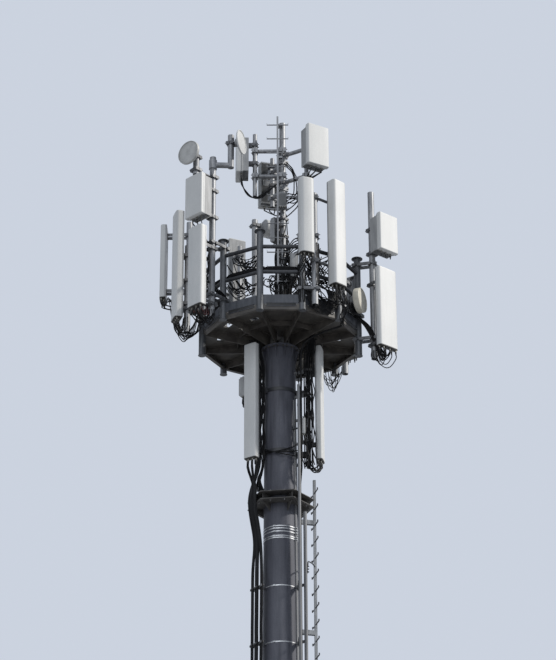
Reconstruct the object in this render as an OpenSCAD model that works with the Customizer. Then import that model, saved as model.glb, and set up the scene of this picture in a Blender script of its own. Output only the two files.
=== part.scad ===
// Tubular cell tower with a twelve-sided antenna deck, from the ground to the mast head.
// Millimetres, +Z up. The origin is the middle of the base plate's underside.
// A bearing is counted in degrees round the pole from the front, -Y, towards +X.

/* [Pole] */
// Height of the deck's walking surface above the ground
deck_z = 20900; // [18000:100:24000]
// Outside diameter of the pole at the ground
pole_base_d = 880; // [800:10:960]
// Outside diameter of the pole under the deck
pole_top_d = 540; // [500:10:580]
// Wall of the pole
pole_wall = 8; // [6:1:16]
// Height of the lower bolted joint of the pole
joint_z = 8800; // [6000:100:10000]
// Thickness of one joint flange
flange_t = 28; // [20:1:40]
// How far a joint flange stands out from the pole
flange_lip = 75; // [60:1:100]
// Diameter of the base plate
base_plate_d = 1280; // [1240:10:1400]
// Thickness of the base plate
base_plate_t = 45; // [30:1:60]
// Diameter of the circle of anchor bolts
anchor_circle_d = 1100; // [1080:10:1140]
// Number of anchor bolts
anchor_n = 12; // [8:1:12]
// Diameter of an anchor bolt hole
anchor_hole_d = 42; // [30:1:50]
// Height of a stiffener on the base plate
base_rib_h = 320; // [200:10:500]

/* [Collar] */
// Depth of the middle of the six-sided collar below the deck
collar_drop = 3220; // [3000:10:3600]
// Distance from the pole's axis to a corner of the collar
collar_r = 580; // [540:10:620]
// Thickness of a collar plate
collar_plate_t = 12; // [8:1:20]
// Height of the collar over both plates
collar_h = 150; // [120:5:200]
// Height of a rib under the collar
collar_rib_h = 190; // [120:10:240]

/* [Climbing ladder] */
// Bearing of the climbing ladder
ladder_turn = 104; // [98:1:110]
// Distance of the ladder's rail from the pole's axis
ladder_r = 600; // [580:10:640]
// Width of a rung
rung_w = 420; // [360:10:480]
// Distance from rung to rung
rung_pitch = 300; // [280:10:320]
// Side of the ladder's square rail
rail_side = 45; // [35:1:60]
// Depth of the ladder's top below the deck
ladder_drop = 2700; // [2600:50:2800]

/* [Deck] */
// Distance from the axis to the middle of a guard post
post_r = 1430; // [1400:10:1500]
// Outside diameter of a guard post
post_d = 120; // [110:1:130]
// Height of a guard post above the deck
post_h = 1400; // [1300:10:1500]
// Diameter of the cap disc on a guard post
cap_d = 200; // [170:5:220]
// Height of the top rail above the deck
top_rail_h = 1100; // [1050:10:1200]
// Height of the middle rail above the deck
mid_rail_h = 600; // [500:10:700]
// Diameter of a rail
rail_d = 70; // [42:1:76]
// Height of the toe board
toe_h = 150; // [100:5:180]
// Thickness of the toe board
toe_t = 8; // [6:1:12]
// Thickness of the floor plates
floor_t = 30; // [20:1:40]
// Depth of the rim under the floor
rim_h = 110; // [90:5:140]
// Depth of a deck beam where it meets the pole
beam_h = 230; // [180:5:280]
// Radius of the inner ring under the floor
inner_ring_r = 780; // [700:10:860]

/* [Mast] */
// Outside diameter of the central mast
mast_d = 114; // [100:1:130]
// Height of the central mast above the deck
mast_h = 4480; // [4200:10:4700]
// Height of the mast's ladder above the deck
mast_ladder_h = 4560; // [4400:10:4800]
// Width of a rung of the mast's ladder
mast_rung_w = 400; // [350:10:450]

/* [Antenna pipes] */
// Outside diameter of a clamped antenna pipe
pipe_d = 114; // [100:1:120]
// Distance from a guard post to the pipe clamped beyond it
pipe_out = 280; // [260:5:320]
// Outside diameter of a thin pipe on the mast
thin_pipe_d = 80; // [70:1:90]
// Diameter of a cross arm
arm_d = 76; // [60:1:90]
// Diameter of a small link dish
dish_d = 450; // [400:10:500]

/* [Cables] */
// Diameter of a feeder cable
feeder_d = 28; // [22:1:30]
// Diameter of a grey conduit
conduit_d = 50; // [40:1:60]
// Diameter of a jumper cable
jumper_d = 16; // [12:1:18]

/* [Hidden] */
$fn = 48;

sides = 12;
side_step = 360 / sides;
// Bearings of the guard posts: the first stands 14 degrees left of the front
post_turn = [for (i = [0 : sides - 1]) -164 + i * side_step];
// How far each guard post reaches below the deck
post_foot = [for (t = post_turn) abs(abs(t) - 75) < 2 ? 530 : abs(abs(t) - 135) < 2 ? 230 : 150];
// The post at the front right carries an antenna and stands taller
tall_post = 6;
tall_post_h = 2330;

head_z = deck_z - floor_t - beam_h;
collar_z = deck_z - collar_drop;
head_flange_t = 30;
head_flange_r = pole_top_d / 2 + 75;

// Radius of the tapered pole at a height
function pole_r(z) = (pole_base_d + (pole_top_d - pole_base_d) * (z - base_plate_t)
  / (head_z - head_flange_t - base_plate_t)) / 2;

// The point at a bearing and a distance from the axis
function spot(turn, r) = [r * sin(turn), -r * cos(turn)];

module at(turn, r, z) {
  rotate([0, 0, turn]) translate([0, -r, z]) children();
}

// Children are drawn facing -Y and turned to face a bearing at a place
module facing(place, turn, z) {
  translate([place[0], place[1], z]) rotate([0, 0, turn]) children();
}

// Round bar from one point to another
module bar(a, b, d) {
  v = b - a;
  translate(a) rotate([0, acos(v[2] / norm(v)), atan2(v[1], v[0])])
    cylinder(h = norm(v), d = d);
}

function unit(v) = v / norm(v);
function heading(p, i) = unit(p[min(i + 1, len(p) - 1)] - p[max(i - 1, 0)]);
// A side vector carried along the headings of a route without twisting
function carried(t, u, i = 0) = i == len(t) ? []
  : let(w = unit(u - (u * t[i]) * t[i])) concat([w], carried(t, w, i + 1));
// Point at share s of the smooth curve from b to c, between the neighbours a and d
function on_curve(a, b, c, d, s) = b + (c - a) * s / 2
  + (a * 2 - b * 5 + c * 4 - d) * s * s / 2 + (b * 3 - a - c * 3 + d) * s * s * s / 2;
// Smooth route through hand-set points, with k steps between two of them
function smooth(p, k) = concat(
  [for (i = [0 : len(p) - 2], j = [0 : k - 1])
    on_curve(p[max(i - 1, 0)], p[i], p[i + 1], p[min(i + 2, len(p) - 1)], j / k)],
  [p[len(p) - 1]]);

// Cable swept along a route as a tube of n sides
module cable(route, d, n = 8) {
  t = [for (i = [0 : len(route) - 1]) heading(route, i)];
  u = carried(t, abs(t[0][2]) > 0.9 ? [1, 0, 0] : [0, 0, 1]);
  rings = len(route);
  polyhedron(
    points = [for (i = [0 : rings - 1], a = [0 : n - 1])
      route[i] + d / 2 * (cos(a * 360 / n) * u[i] + sin(a * 360 / n) * cross(t[i], u[i]))],
    faces = concat(
      [[for (a = [0 : n - 1]) a]], [[for (a = [0 : n - 1]) rings * n - 1 - a]],
      [for (i = [0 : rings - 2], a = [0 : n - 1]) let(b = (a + 1) % n)
        [i * n + a, i * n + n + a, i * n + n + b, i * n + b]]));
}

// The solid inside of the pole between two heights
module pole_core(z0, z1, out = 0) {
  translate([0, 0, z0])
    cylinder(h = z1 - z0, r1 = pole_r(z0) + out, r2 = pole_r(z1) + out, $fn = 96);
}

module pole_tube(z0, z1) {
  difference() {
    pole_core(z0, z1);
    translate([0, 0, z0 - 1]) cylinder(
      h = z1 - z0 + 2, r1 = pole_r(z0 - 1) - pole_wall, r2 = pole_r(z1 + 1) - pole_wall, $fn = 96);
  }
}

// Right-angled plate standing on its long side, its upright edge at the origin
module rib(w, h, t, nose = 25) {
  rotate([90, 0, -90]) translate([0, 0, -t / 2]) linear_extrude(t)
    polygon([[0, 0], [w, 0], [w, nose], [nose, h], [0, h]]);
}

module base_plate() {
  color("dimgray") difference() {
    cylinder(h = base_plate_t, d = base_plate_d, $fn = 96);
    for (i = [0 : anchor_n - 1]) rotate([0, 0, (i + 0.5) * 360 / anchor_n])
      translate([anchor_circle_d / 2, 0, -1]) cylinder(h = base_plate_t + 2, d = anchor_hole_d);
  }
}

base_rib_w = (anchor_circle_d - pole_base_d) / 2 + 50;

module base_ribs() {
  color("dimgray") difference() {
    for (i = [0 : anchor_n - 1]) at(i * 360 / anchor_n, pole_base_d / 2 - 12, base_plate_t)
      rib(base_rib_w, base_rib_h, 16);
    pole_core(base_plate_t - 1, base_plate_t + base_rib_h + 1);
  }
}

module pole_lower() {
  color("dimgray") pole_tube(base_plate_t, joint_z);
}

module pole_middle() {
  color("dimgray") pole_tube(joint_z, collar_z);
}

module pole_upper() {
  color("dimgray") pole_tube(collar_z, head_z - head_flange_t);
}

joint_bolts = 16;

module joint_flanges() {
  color("dimgray") difference() {
    translate([0, 0, joint_z - flange_t])
      cylinder(h = 2 * flange_t, r = pole_r(joint_z) + flange_lip, $fn = 96);
    pole_core(joint_z - flange_t - 1, joint_z + flange_t + 1);
    translate([0, 0, joint_z - 1]) difference() {
      cylinder(h = 2, r = pole_r(joint_z) + flange_lip + 1, $fn = 96);
      translate([0, 0, -1]) cylinder(h = 4, r = pole_r(joint_z) + flange_lip - 4, $fn = 96);
    }
  }
  color("silver") for (i = [0 : joint_bolts - 1])
    at(i * 360 / joint_bolts, pole_r(joint_z) + flange_lip * 0.55, 0) {
      translate([0, 0, joint_z + flange_t - 1]) cylinder(h = 23, d = 40, $fn = 6);
      translate([0, 0, joint_z - flange_t - 22]) cylinder(h = 23, d = 40, $fn = 6);
    }
}

collar_turn = 23;

// Six-sided plate with corners at the collar's bearing
module collar_plate(z) {
  translate([0, 0, z]) rotate([0, 0, collar_turn - 90])
    cylinder(h = collar_plate_t, r = collar_r, $fn = 6);
}

module pole_collar() {
  low = collar_z - collar_h / 2;
  color("dimgray") difference() {
    union() {
      collar_plate(low);
      collar_plate(low + collar_h - collar_plate_t);
      for (i = [0 : 5]) rotate([0, 0, collar_turn + i * 60]) {
        translate([-6, -collar_r + 70, low]) cube([12, collar_r - 70 - 200, collar_h]);
        translate([0, -200, low + 1]) mirror([0, 0, 1])
          rib(collar_r - 200 - 90, collar_rib_h, 12);
      }
    }
    pole_core(low - collar_rib_h - 5, low + collar_h + 5);
  }
}

// Heights of the steel straps: one a metre, and a group under the collar
strap_z = concat([for (z = [1100 : 1000 : collar_z - 1500]) z],
  [for (d = [500, 545, 600, 680, 715]) collar_z - d]);
strap_h = 18;
strap_t = 3;

// Flat grey duct that runs up the pole under the straps: bearing, width and thickness
duct_turn = 57;
duct_w = 46;
duct_t = 30;

// Room for the duct at a height, with a margin at its sides and over it
module duct_room(z, margin) {
  at(duct_turn, pole_r(z) + duct_t + margin, z - 2 * strap_h) translate([-duct_w / 2 - margin, 0, 0])
    cube([duct_w + 2 * margin, duct_t + 60, 4 * strap_h]);
}

// Steel straps round the pole, each bent over the duct
module strap_bands() {
  color("lightgray") for (z = strap_z) difference() {
    union() {
      pole_core(z - strap_h / 2, z + strap_h / 2, strap_t);
      intersection() {
        duct_room(z, strap_t + 0.2);
        translate([0, 0, z - strap_h / 2]) cylinder(h = strap_h, r = 2 * pole_r(z));
      }
    }
    pole_core(z - strap_h / 2 - 1, z + strap_h / 2 + 1);
    duct_room(z, 0.2);
  }
}

ladder_low_z = 400;
ladder_high_z = deck_z - ladder_drop;

rung_d = 22;
rung_lip = 34;

// Square rail with a bore for each rung
module ladder_rail(low, high, side, first) {
  difference() {
    translate([-side / 2, -side / 2, low]) cube([side, side, high - low]);
    for (z = [first : rung_pitch : high - 60]) translate([-side, 0, z]) rotate([0, 90, 0])
      cylinder(h = 2 * side, d = rung_d, $fn = 24);
  }
}

// Rungs through the bores of a rail, each with an upright lip at its ends
module ladder_rungs(high, w, first) {
  for (z = [first : rung_pitch : high - 60]) {
    translate([-w / 2, 0, z]) rotate([0, 90, 0]) cylinder(h = w, d = rung_d, $fn = 24);
    for (s = [-1, 1]) translate([s * (w / 2 - 4) - 4, -rung_d / 2, z]) cube([8, rung_d, rung_lip]);
  }
}

module climbing_ladder() {
  color("silver") at(ladder_turn, ladder_r, 0)
    ladder_rail(ladder_low_z, ladder_high_z, rail_side, ladder_low_z + 150);
}

module climbing_rungs() {
  color("silver") at(ladder_turn, ladder_r, 0) ladder_rungs(ladder_high_z, rung_w, ladder_low_z + 150);
}

module ladder_brackets() {
  color("silver") for (z = [1400 : 2000 : ladder_high_z]) difference() {
    at(ladder_turn, ladder_r - rail_side / 2, z - 40) translate([-30, 0, 0]) {
      cube([60, 8, 80]);
      cube([8, ladder_r - rail_side / 2 - 200, 80]);
      translate([52, 0, 0]) cube([8, ladder_r - rail_side / 2 - 200, 80]);
    }
    pole_core(z - 50, z + 50);
  }
}

module head_flange() {
  color("dimgray") difference() {
    union() {
      translate([0, 0, head_z - head_flange_t])
        cylinder(h = head_flange_t, r = head_flange_r, $fn = 96);
      for (i = [0 : sides - 1]) rotate([0, 0, post_turn[i]])
        translate([0, -pole_r(head_z) + 10, head_z - head_flange_t + 1]) mirror([0, 0, 1])
          rib(70, 200, 12);
    }
    pole_core(head_z - head_flange_t - 260, head_z - head_flange_t);
  }
}

beam_web_t = 10;
beam_in_r = 250;
beam_tip_h = 110;

// Tapered beams from the head of the pole to the guard posts, top edges under the floor
module deck_beams() {
  out_r = post_r - post_d / 2;
  color("darkslategray") for (t = post_turn) rotate([0, 0, t]) {
    rotate([90, 0, -90]) translate([beam_in_r, head_z, -beam_web_t / 2])
      linear_extrude(beam_web_t) polygon([
        [0, 0], [head_flange_r - beam_in_r, 0],
        [out_r - beam_in_r, beam_h - beam_tip_h], [out_r - beam_in_r, beam_h], [0, beam_h]
      ]);
    translate([-35, -out_r, head_z + beam_h - 8]) cube([70, out_r - beam_in_r - 90, 8]);
    translate([-35, -out_r, head_z + beam_h - beam_tip_h]) cube([70, 8, beam_tip_h]);
  }
}

// Ring of straight plates between the bearings of the posts, moved in by a distance
module ring_plates(r, t, h, z, inset = 0) {
  half = r * sin(side_step / 2);
  for (turn = post_turn) rotate([0, 0, turn + side_step / 2])
    translate([-half, -r * cos(side_step / 2) - t / 2 + inset, z]) cube([2 * half, t, h]);
}

module inner_ring() {
  color("darkslategray") difference() {
    ring_plates(inner_ring_r, 10, 90, deck_z - floor_t - 98);
    for (t = post_turn) rotate([0, 0, t])
      translate([-beam_web_t / 2, -inner_ring_r - 60, deck_z - floor_t - 120]) cube([beam_web_t, 120, 140]);
  }
}

// Plates of the rim and the toe board end on the posts
module deck_rim() {
  color("dimgray") difference() {
    union() {
      ring_plates(post_r, 12, rim_h, deck_z - floor_t - rim_h);
      ring_plates(post_r, 50, 10, deck_z - floor_t - rim_h, 30);
    }
    for (t = post_turn) at(t, post_r, deck_z - 700) cylinder(h = 900, d = post_d);
    for (t = post_turn) rotate([0, 0, t]) translate([-35, -post_r, deck_z - floor_t - rim_h - 1])
      cube([70, 200, rim_h + 2]);
  }
}

// Floor plate of one bay, drawn to the right of its left beam
module floor_bay() {
  half = side_step / 2;
  r0 = mast_x + mast_d / 2 + 8;
  r1 = post_r * cos(half) - toe_t / 2;
  rotate([0, 0, half]) linear_extrude(floor_t)
    polygon([
      [-r0 * tan(half), -r0], [r0 * tan(half), -r0], [r1 * tan(half) - 4, -r1], [-r1 * tan(half) + 4, -r1]
    ]);
}

// Bays with a cable hole, counted from the first post, and the middle of each hole
cable_holes = [[3, 700], [3, 1060], [4, 900], [2, 640], [2, 1060], [7, 640], [8, 1020], [9, 800], [11, 900]];

module deck_floor() {
  color("darkolivegreen") translate([0, 0, deck_z - floor_t]) difference() {
    for (t = post_turn) rotate([0, 0, t]) floor_bay();
    for (t = post_turn) rotate([0, 0, t]) translate([-3, -post_r, -1]) cube([6, post_r, floor_t + 2]);
    for (t = post_turn) at(t, post_r, -1) cylinder(h = floor_t + 2, d = post_d + 6);
    for (c = cable_holes) rotate([0, 0, post_turn[c[0]] + side_step / 2])
      translate([-85, -c[1] - 60, -1]) cube([170, 120, floor_t + 2]);
  }
}

module toe_boards() {
  color("slategray") difference() {
    ring_plates(post_r, toe_t, toe_h + floor_t, deck_z - floor_t);
    for (t = post_turn) at(t, post_r, deck_z - 50) cylinder(h = toe_h + 60, d = post_d);
  }
}

post_wall = 6;

module guard_posts() {
  color("gray") for (i = [0 : sides - 1]) {
    h = i == tall_post ? tall_post_h : post_h;
    at(post_turn[i], post_r, deck_z - post_foot[i]) difference() {
      cylinder(h = h + post_foot[i], d = post_d);
      translate([0, 0, -1]) cylinder(h = h + post_foot[i] + 2, d = post_d - 2 * post_wall);
    }
  }
}

module post_caps() {
  color("gray") for (i = [0 : sides - 1]) {
    h = i == tall_post ? tall_post_h : post_h;
    at(post_turn[i], post_r, deck_z + h) cylinder(h = 10, d = i == tall_post ? post_d : cap_d);
    at(post_turn[i], post_r, deck_z - post_foot[i] - 8) cylinder(h = 8, d = post_d + 16);
  }
}

// Tubes from post to post, coped to the posts
module rail_ring(d, z) {
  half = post_r * sin(side_step / 2);
  difference() {
    for (turn = post_turn) rotate([0, 0, turn + side_step / 2])
      translate([-half, -post_r * cos(side_step / 2), z]) rotate([0, 90, 0]) cylinder(h = 2 * half, d = d);
    for (t = post_turn) at(t, post_r, z - d) cylinder(h = 2 * d, d = post_d);
  }
}

module top_rail() {
  color("dimgray") rail_ring(rail_d, deck_z + top_rail_h);
}

module middle_rail() {
  color("dimgray") rail_ring(rail_d, deck_z + mid_rail_h);
}

mast_x = 60;
mast_wall = 6;
mast_foot_t = 20;
mast_foot_r = 180;

module central_mast() {
  color("silver") translate([mast_x, 0, head_z]) {
    difference() {
      union() {
        cylinder(h = deck_z + mast_h - head_z, d = mast_d);
        cylinder(h = mast_foot_t, r = mast_foot_r, $fn = 96);
        for (i = [0 : 3]) rotate([0, 0, 45 + 90 * i]) translate([0, -mast_d / 2 + 3, mast_foot_t - 1])
          rib(115, 190, 10);
      }
      translate([0, 0, -1]) cylinder(h = deck_z + mast_h - head_z - 9, d = mast_d - 2 * mast_wall);
    }
  }
}

mast_ladder_x = -30;
mast_ladder_y = -130;
mast_ladder_tie_h = [450, 1400, 2250, 3680, 4380];
mast_rail_side = 34;
mast_rung_first = 180;

module mast_ladder() {
  color("silver") {
    translate([mast_ladder_x, mast_ladder_y, deck_z])
      ladder_rail(0, mast_ladder_h, mast_rail_side, mast_rung_first);
    for (h = mast_ladder_tie_h) difference() {
      translate([mast_ladder_x, mast_ladder_y + mast_rail_side / 2 - 1, deck_z + h])
        cube([mast_x - mast_ladder_x, -mast_ladder_y - mast_rail_side / 2 + 1, 40]);
      translate([mast_x, 0, deck_z + h - 1]) cylinder(h = 42, d = mast_d);
    }
  }
}

module mast_rungs() {
  color("silver") translate([mast_ladder_x, mast_ladder_y, deck_z])
    ladder_rungs(mast_ladder_h, mast_rung_w, mast_rung_first);
}

// Pipes held off the mast: the left one and the one behind the upper right antenna
side_pipe = [-450, 0];
front_pipe = [500, -260];
back_pipe = [-130, 330];
// Heights of the two arms to each of them; its foot and head follow from the arms
side_arm_h = [3346, 3885];
front_arm_h = [3200, 3780];
back_arm_h = [3060, 3620];
side_pipe_low = side_arm_h[0] - 426;
side_pipe_high = side_arm_h[1] + 360;
front_pipe_low = front_arm_h[0] - 80;
front_pipe_high = front_arm_h[1] + 340;
back_pipe_low = back_arm_h[0] - 180;
back_pipe_high = back_arm_h[1] + 300;

module pipe_up(place, low, high, d) {
  translate([place[0], place[1], deck_z + low]) difference() {
    cylinder(h = high - low, d = d);
    translate([0, 0, -1]) cylinder(h = high - low - 5, d = d - 10);
  }
}

module mast_pipes() {
  color("silver") {
    pipe_up(side_pipe, side_pipe_low, side_pipe_high, thin_pipe_d);
    pipe_up(front_pipe, front_pipe_low, front_pipe_high, thin_pipe_d);
    pipe_up(back_pipe, back_pipe_low, back_pipe_high, thin_pipe_d);
  }
}

clamp_t = 14;
clamp_rod_d = 14;

// Two half clamps round a pipe, pulled together by rods
module clamp_pair(d, h, w) {
  difference() {
    union() {
      translate([-w / 2, -d / 2 - clamp_t, -h / 2]) cube([w, d / 2 + clamp_t - 6, h]);
      translate([-w / 2, 6, -h / 2]) cube([w, d / 2 + clamp_t - 6, h]);
      for (s = [-1, 1]) translate([s * (w / 2 - 12), -d / 2 - clamp_t - 18, 0]) rotate([-90, 0, 0])
        cylinder(h = d + 2 * clamp_t + 36, d = clamp_rod_d, $fn = 24);
    }
    translate([0, 0, -h]) cylinder(h = 2 * h, d = d);
  }
}

// Level arm between two upright pipes, with a clamp on each, at a height above the deck
module cross_arm(a, b, da, db, h, arm = arm_d) {
  v = b - a;
  translate([a[0], a[1], deck_z + h]) rotate([0, 0, atan2(v[0], -v[1])]) {
    translate([0, -da / 2 - clamp_t + 4, 0]) rotate([90, 0, 0])
      cylinder(h = norm(v) - da / 2 - db / 2 - 2 * clamp_t + 8, d = arm);
    clamp_pair(da, arm + 8, da + 54);
    translate([0, -norm(v), 0]) clamp_pair(db, arm + 8, db + 54);
  }
}

module mast_arms() {
  color("silver") {
    for (h = side_arm_h) cross_arm([mast_x, 0], side_pipe, mast_d, thin_pipe_d, h);
    for (h = front_arm_h) cross_arm([mast_x, 0], front_pipe, mast_d, thin_pipe_d, h);
    for (h = back_arm_h) cross_arm([mast_x, 0], back_pipe, mast_d, thin_pipe_d, h);
  }
}

// Antenna pipes beyond the guard posts: bearing, height of foot and head against the deck
left_out = [[-44, -230, 3010], [-74, -120, 1620], [-104, 700, 2600]];
right_out = [[76, -630, 2740]];
rear_out = [[-164, -100, 3350], [136, -120, 2100]];
// The thin pipe at the back stands against the rails of one bay
rail_pipe_turn = -149;
rail_pipe = spot(rail_pipe_turn, post_r * cos(side_step / 2) + (rail_d + thin_pipe_d) / 2);
rail_pipe_z = [460, 2560];
// The pipe at the front right stands beside the tall post
corner_reach = 216;
corner_pipe = spot(post_turn[tall_post], post_r) + [corner_reach, 0];
corner_low = -50;
corner_high = 2170;
// Short uprights that carry the left dish and the low right dish
stub_d = 60;
// Height of the boom on the left pipe, from which the left upright and two dishes are placed
boom_h = left_out[0][2] - 150;
boom_len = 320;
boom_end = out_spot(-44) + [boom_len, 20];
left_stub = [-1478, -1500];
left_stub_z = [boom_h - 360, boom_h + 50];
right_stub = [1205, -640];
right_stub_z = [200, 540];

function out_spot(turn) = spot(turn, post_r + pipe_out);

module out_pipes(list) {
  for (p = list) pipe_up(out_spot(p[0]), p[1], p[2], pipe_d);
}

module left_pipes() {
  color("silver") {
    out_pipes(left_out);
    pipe_up(left_stub, left_stub_z[0], left_stub_z[1], pipe_d);
  }
}

module right_pipes() {
  color("silver") {
    out_pipes(right_out);
    pipe_up(corner_pipe, corner_low, corner_high, pipe_d);
    pipe_up(right_stub, right_stub_z[0], right_stub_z[1], stub_d);
  }
}

module rear_pipes() {
  color("silver") {
    out_pipes(rear_out);
    pipe_up(rail_pipe, rail_pipe_z[0], rail_pipe_z[1], thin_pipe_d);
  }
}

// Clamp block between a guard post and the pipe beyond it
module twin_clamp(reach, h) {
  w = post_d + 50;
  difference() {
    union() {
      translate([-w / 2, -reach + 20, -h / 2]) cube([w, reach - 40, h]);
      translate([-w / 2, 20, -h / 2]) cube([w, post_d / 2, h]);
      translate([-w / 2, -reach - 20 - pipe_d / 2, -h / 2]) cube([w, pipe_d / 2, h]);
      for (s = [-1, 1]) translate([s * (w / 2 - 12), post_d / 2 + 45, 0]) rotate([90, 0, 0])
        cylinder(h = reach + post_d / 2 + pipe_d / 2 + 90, d = 16, $fn = 24);
    }
    translate([0, 0, -h]) cylinder(h = 2 * h, d = post_d);
    translate([0, -reach, -h]) cylinder(h = 2 * h, d = pipe_d);
    if (reach > 250) translate([-w / 2 + 26, -reach + pipe_d / 2 + 12, -h])
      cube([w - 52, reach - post_d / 2 - pipe_d / 2 - 24, 2 * h]);
  }
}

// Clamps on each outer pipe: bearing, height against the deck
twin_at = [
  [-44, 215], [-44, 1250], [-74, 330], [-74, 900], [-104, 757], [-104, 1260],
  [76, -230], [76, 1260], [-164, 250], [-164, 1250], [136, 230], [136, 1250]
];
twin_h = 56;
corner_clamp_h = [250, 1300];
left_stub_arm_h = boom_h - 270;
right_stub_arm_h = 255;

// Saddle block between a rail and the thin pipe that stands against it
module rail_saddle(h) {
  rail_y = -post_r * cos(side_step / 2);
  pipe_y = rail_y - (rail_d + thin_pipe_d) / 2;
  rotate([0, 0, rail_pipe_turn]) translate([0, 0, deck_z + h]) difference() {
    translate([-65, pipe_y + 5, -45]) cube([130, rail_y - pipe_y - 10, 90]);
    translate([0, pipe_y, -50]) cylinder(h = 100, d = thin_pipe_d);
    translate([-80, rail_y, 0]) rotate([0, 90, 0]) cylinder(h = 160, d = rail_d);
  }
}

module pipe_clamps() {
  color("slategray") {
    for (c = twin_at) at(c[0], post_r, deck_z + c[1]) twin_clamp(pipe_out, twin_h);
    for (h = corner_clamp_h)
      facing(spot(post_turn[tall_post], post_r), 90, deck_z + h) twin_clamp(corner_reach, twin_h);
    for (h = [mid_rail_h, top_rail_h]) rail_saddle(h);
    cross_arm(out_spot(-44), left_stub, pipe_d, pipe_d, left_stub_arm_h, 50);
    cross_arm(spot(76, post_r), right_stub, post_d, stub_d, right_stub_arm_h, 50);
  }
}

// Boom on the left pipe's head, and the short upright that carries a dish
module dish_boom() {
  head = out_spot(-44);
  color("silver") difference() {
    union() {
      translate([head[0], head[1], deck_z + boom_h - 90]) cylinder(h = 180, d = pipe_d + 30);
      bar([head[0], head[1], deck_z + boom_h], [boom_end[0], boom_end[1], deck_z + boom_h], pipe_d - 10);
      translate([boom_end[0], boom_end[1], deck_z + boom_h - 48]) cylinder(h = 670, d = pipe_d);
    }
    translate([head[0], head[1], deck_z + boom_h - 100]) cylinder(h = 200, d = pipe_d);
  }
}

// Clamp bands round the pole for the two antennas below the deck
low_band_z = [-1120, -2300];
low_band_h = 70;
low_band_t = 10;
low_left_turn = -58;
low_right_turn = 84;
low_pipe_r = 500;
low_pipe_d = 60;
// The small units beside the pole: bearing of the left one from its pipe, end of the right one's arm
small_left_turn = -115;
small_left_arm = 130;
small_left_h = -1230;
small_left = [150, 90, 370];
small_right = [385, -290];
small_right_h = -2030;
small_right_size = [106, 60, 315];

module low_clamps() {
  color("darkslategray") for (h = low_band_z) {
    z = deck_z + h;
    difference() {
      pole_core(z - low_band_h / 2, z + low_band_h / 2, low_band_t);
      pole_core(z - low_band_h / 2 - 1, z + low_band_h / 2 + 1);
    }
    for (turn = [low_left_turn, low_right_turn]) difference() {
      at(turn, low_pipe_r, z - 45) translate([-45, 0, 0]) cube([90, low_pipe_r - pole_r(z) + 20, 90]);
      pole_core(z - 60, z + 60, low_band_t);
      at(turn, low_pipe_r, z - 60) cylinder(h = 120, d = low_pipe_d);
      at(turn, low_pipe_r, z - 60) translate([-33, low_pipe_d / 2 + 20, 0]) cube([66, 60, 120]);
    }
  }
  color("silver") {
    for (turn = [low_left_turn, low_right_turn])
      at(turn, low_pipe_r, deck_z - 2560) cylinder(h = 2235, d = low_pipe_d);
    // Arms to the two small units beside the pole
    facing(spot(low_left_turn, low_pipe_r), small_left_turn, deck_z + small_left_h + 190) {
      clamp_pair(low_pipe_d, 44, low_pipe_d + 44);
      translate([0, -low_pipe_d / 2 - clamp_t + 4, 0]) rotate([90, 0, 0])
        cylinder(h = small_left_arm, d = 30);
    }
    translate([small_right[0] - 52, small_right[1], deck_z + small_right_h + 130]) cube([60, 12, 40]);
    difference() {
      bar([150, -170, deck_z + small_right_h + 150],
        [small_right[0] - 32, small_right[1] + 12, deck_z + small_right_h + 150], 30);
      pole_core(deck_z + small_right_h + 100, deck_z + small_right_h + 200);
    }
  }
}

// Outline of a panel antenna: flat back on the X axis, rounded front corners
module panel_outline(w, t, r) {
  translate([-w / 2, -t + r]) square([w, t - r]);
  translate([-w / 2 + r, -t]) square([w - 2 * r, t]);
  for (s = [-1, 1]) translate([s * (w / 2 - r), -t + r]) circle(r);
}

// Panel antenna: cover, end caps and a row of plugs, its foot at z = 0 and its back at y = 0
module panel(w, t, h, r, plugs) {
  cap = 14;
  translate([0, 0, cap]) linear_extrude(h - 2 * cap) panel_outline(w, t, r);
  for (z = [0, h - cap]) translate([0, -4, z]) linear_extrude(cap) panel_outline(w - 8, t - 8, r - 4);
  for (i = [0 : plugs - 1])
    translate([(i - (plugs - 1) / 2) * (w - 80) / max(plugs - 1, 1), -t * (i % 2 == 0 ? 0.35 : 0.65), -45])
      cylinder(h = 50, d = 30);
}

// Box antenna with a ribbed heat sink behind its flat cover
module box_antenna(w, t, h, cover) {
  translate([-w / 2, -t, 0]) cube([w, cover, h]);
  translate([-w / 2 + 15, -t + cover - 1, 15]) cube([w - 30, 41, h - 30]);
  fin_n = 14;
  for (i = [0 : fin_n - 1]) translate([-w / 2 + 20 + i * (w - 46) / (fin_n - 1), -t + cover + 35, 30])
    cube([6, t - cover - 35, h - 60]);
  translate([-w / 2 + 60, -t + cover, h / 2 - 60]) cube([w - 120, t - cover, 120]);
  for (i = [-1, 0, 1]) translate([i * w / 4, -t + cover + 18, -35]) cylinder(h = 55, d = 30);
}

// Bracket from a pipe to the back of an antenna, its middle at the origin
module stand_bracket(d, gap, h) {
  clamp_pair(d, h, d + 44);
  for (s = [-1, 1]) translate([s * (d / 2 + 8) - 5, -d / 2 - gap, -h / 2]) cube([10, gap - 10, h]);
  translate([-d / 2 - 13, -d / 2 - gap, -h / 2]) cube([d + 26, 8, h]);
}

// Antennas: [pipe place, bearing faced, foot and height against the deck, width, depth, gap to the pipe,
// heights of the two brackets above the foot, corner radius]
left_list = [
  [out_spot(-44), -45, -140, 1575, 345, 140, 240, [170, 1275], 45],
  [out_spot(-74), -72, 100, 2160, 300, 150, 60, [330, 1300], 45],
  [out_spot(-104), -92, 980, 1520, 330, 120, 350, [180, 1340], 45]
];
right_list = [
  [spot(post_turn[tall_post], post_r), 21, 842, 1512, 270, 160, 90, [150, 1260], 75],
  [out_spot(76), 40, -546, 1560, 430, 115, 230, [180, 1380], 45]
];
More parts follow.
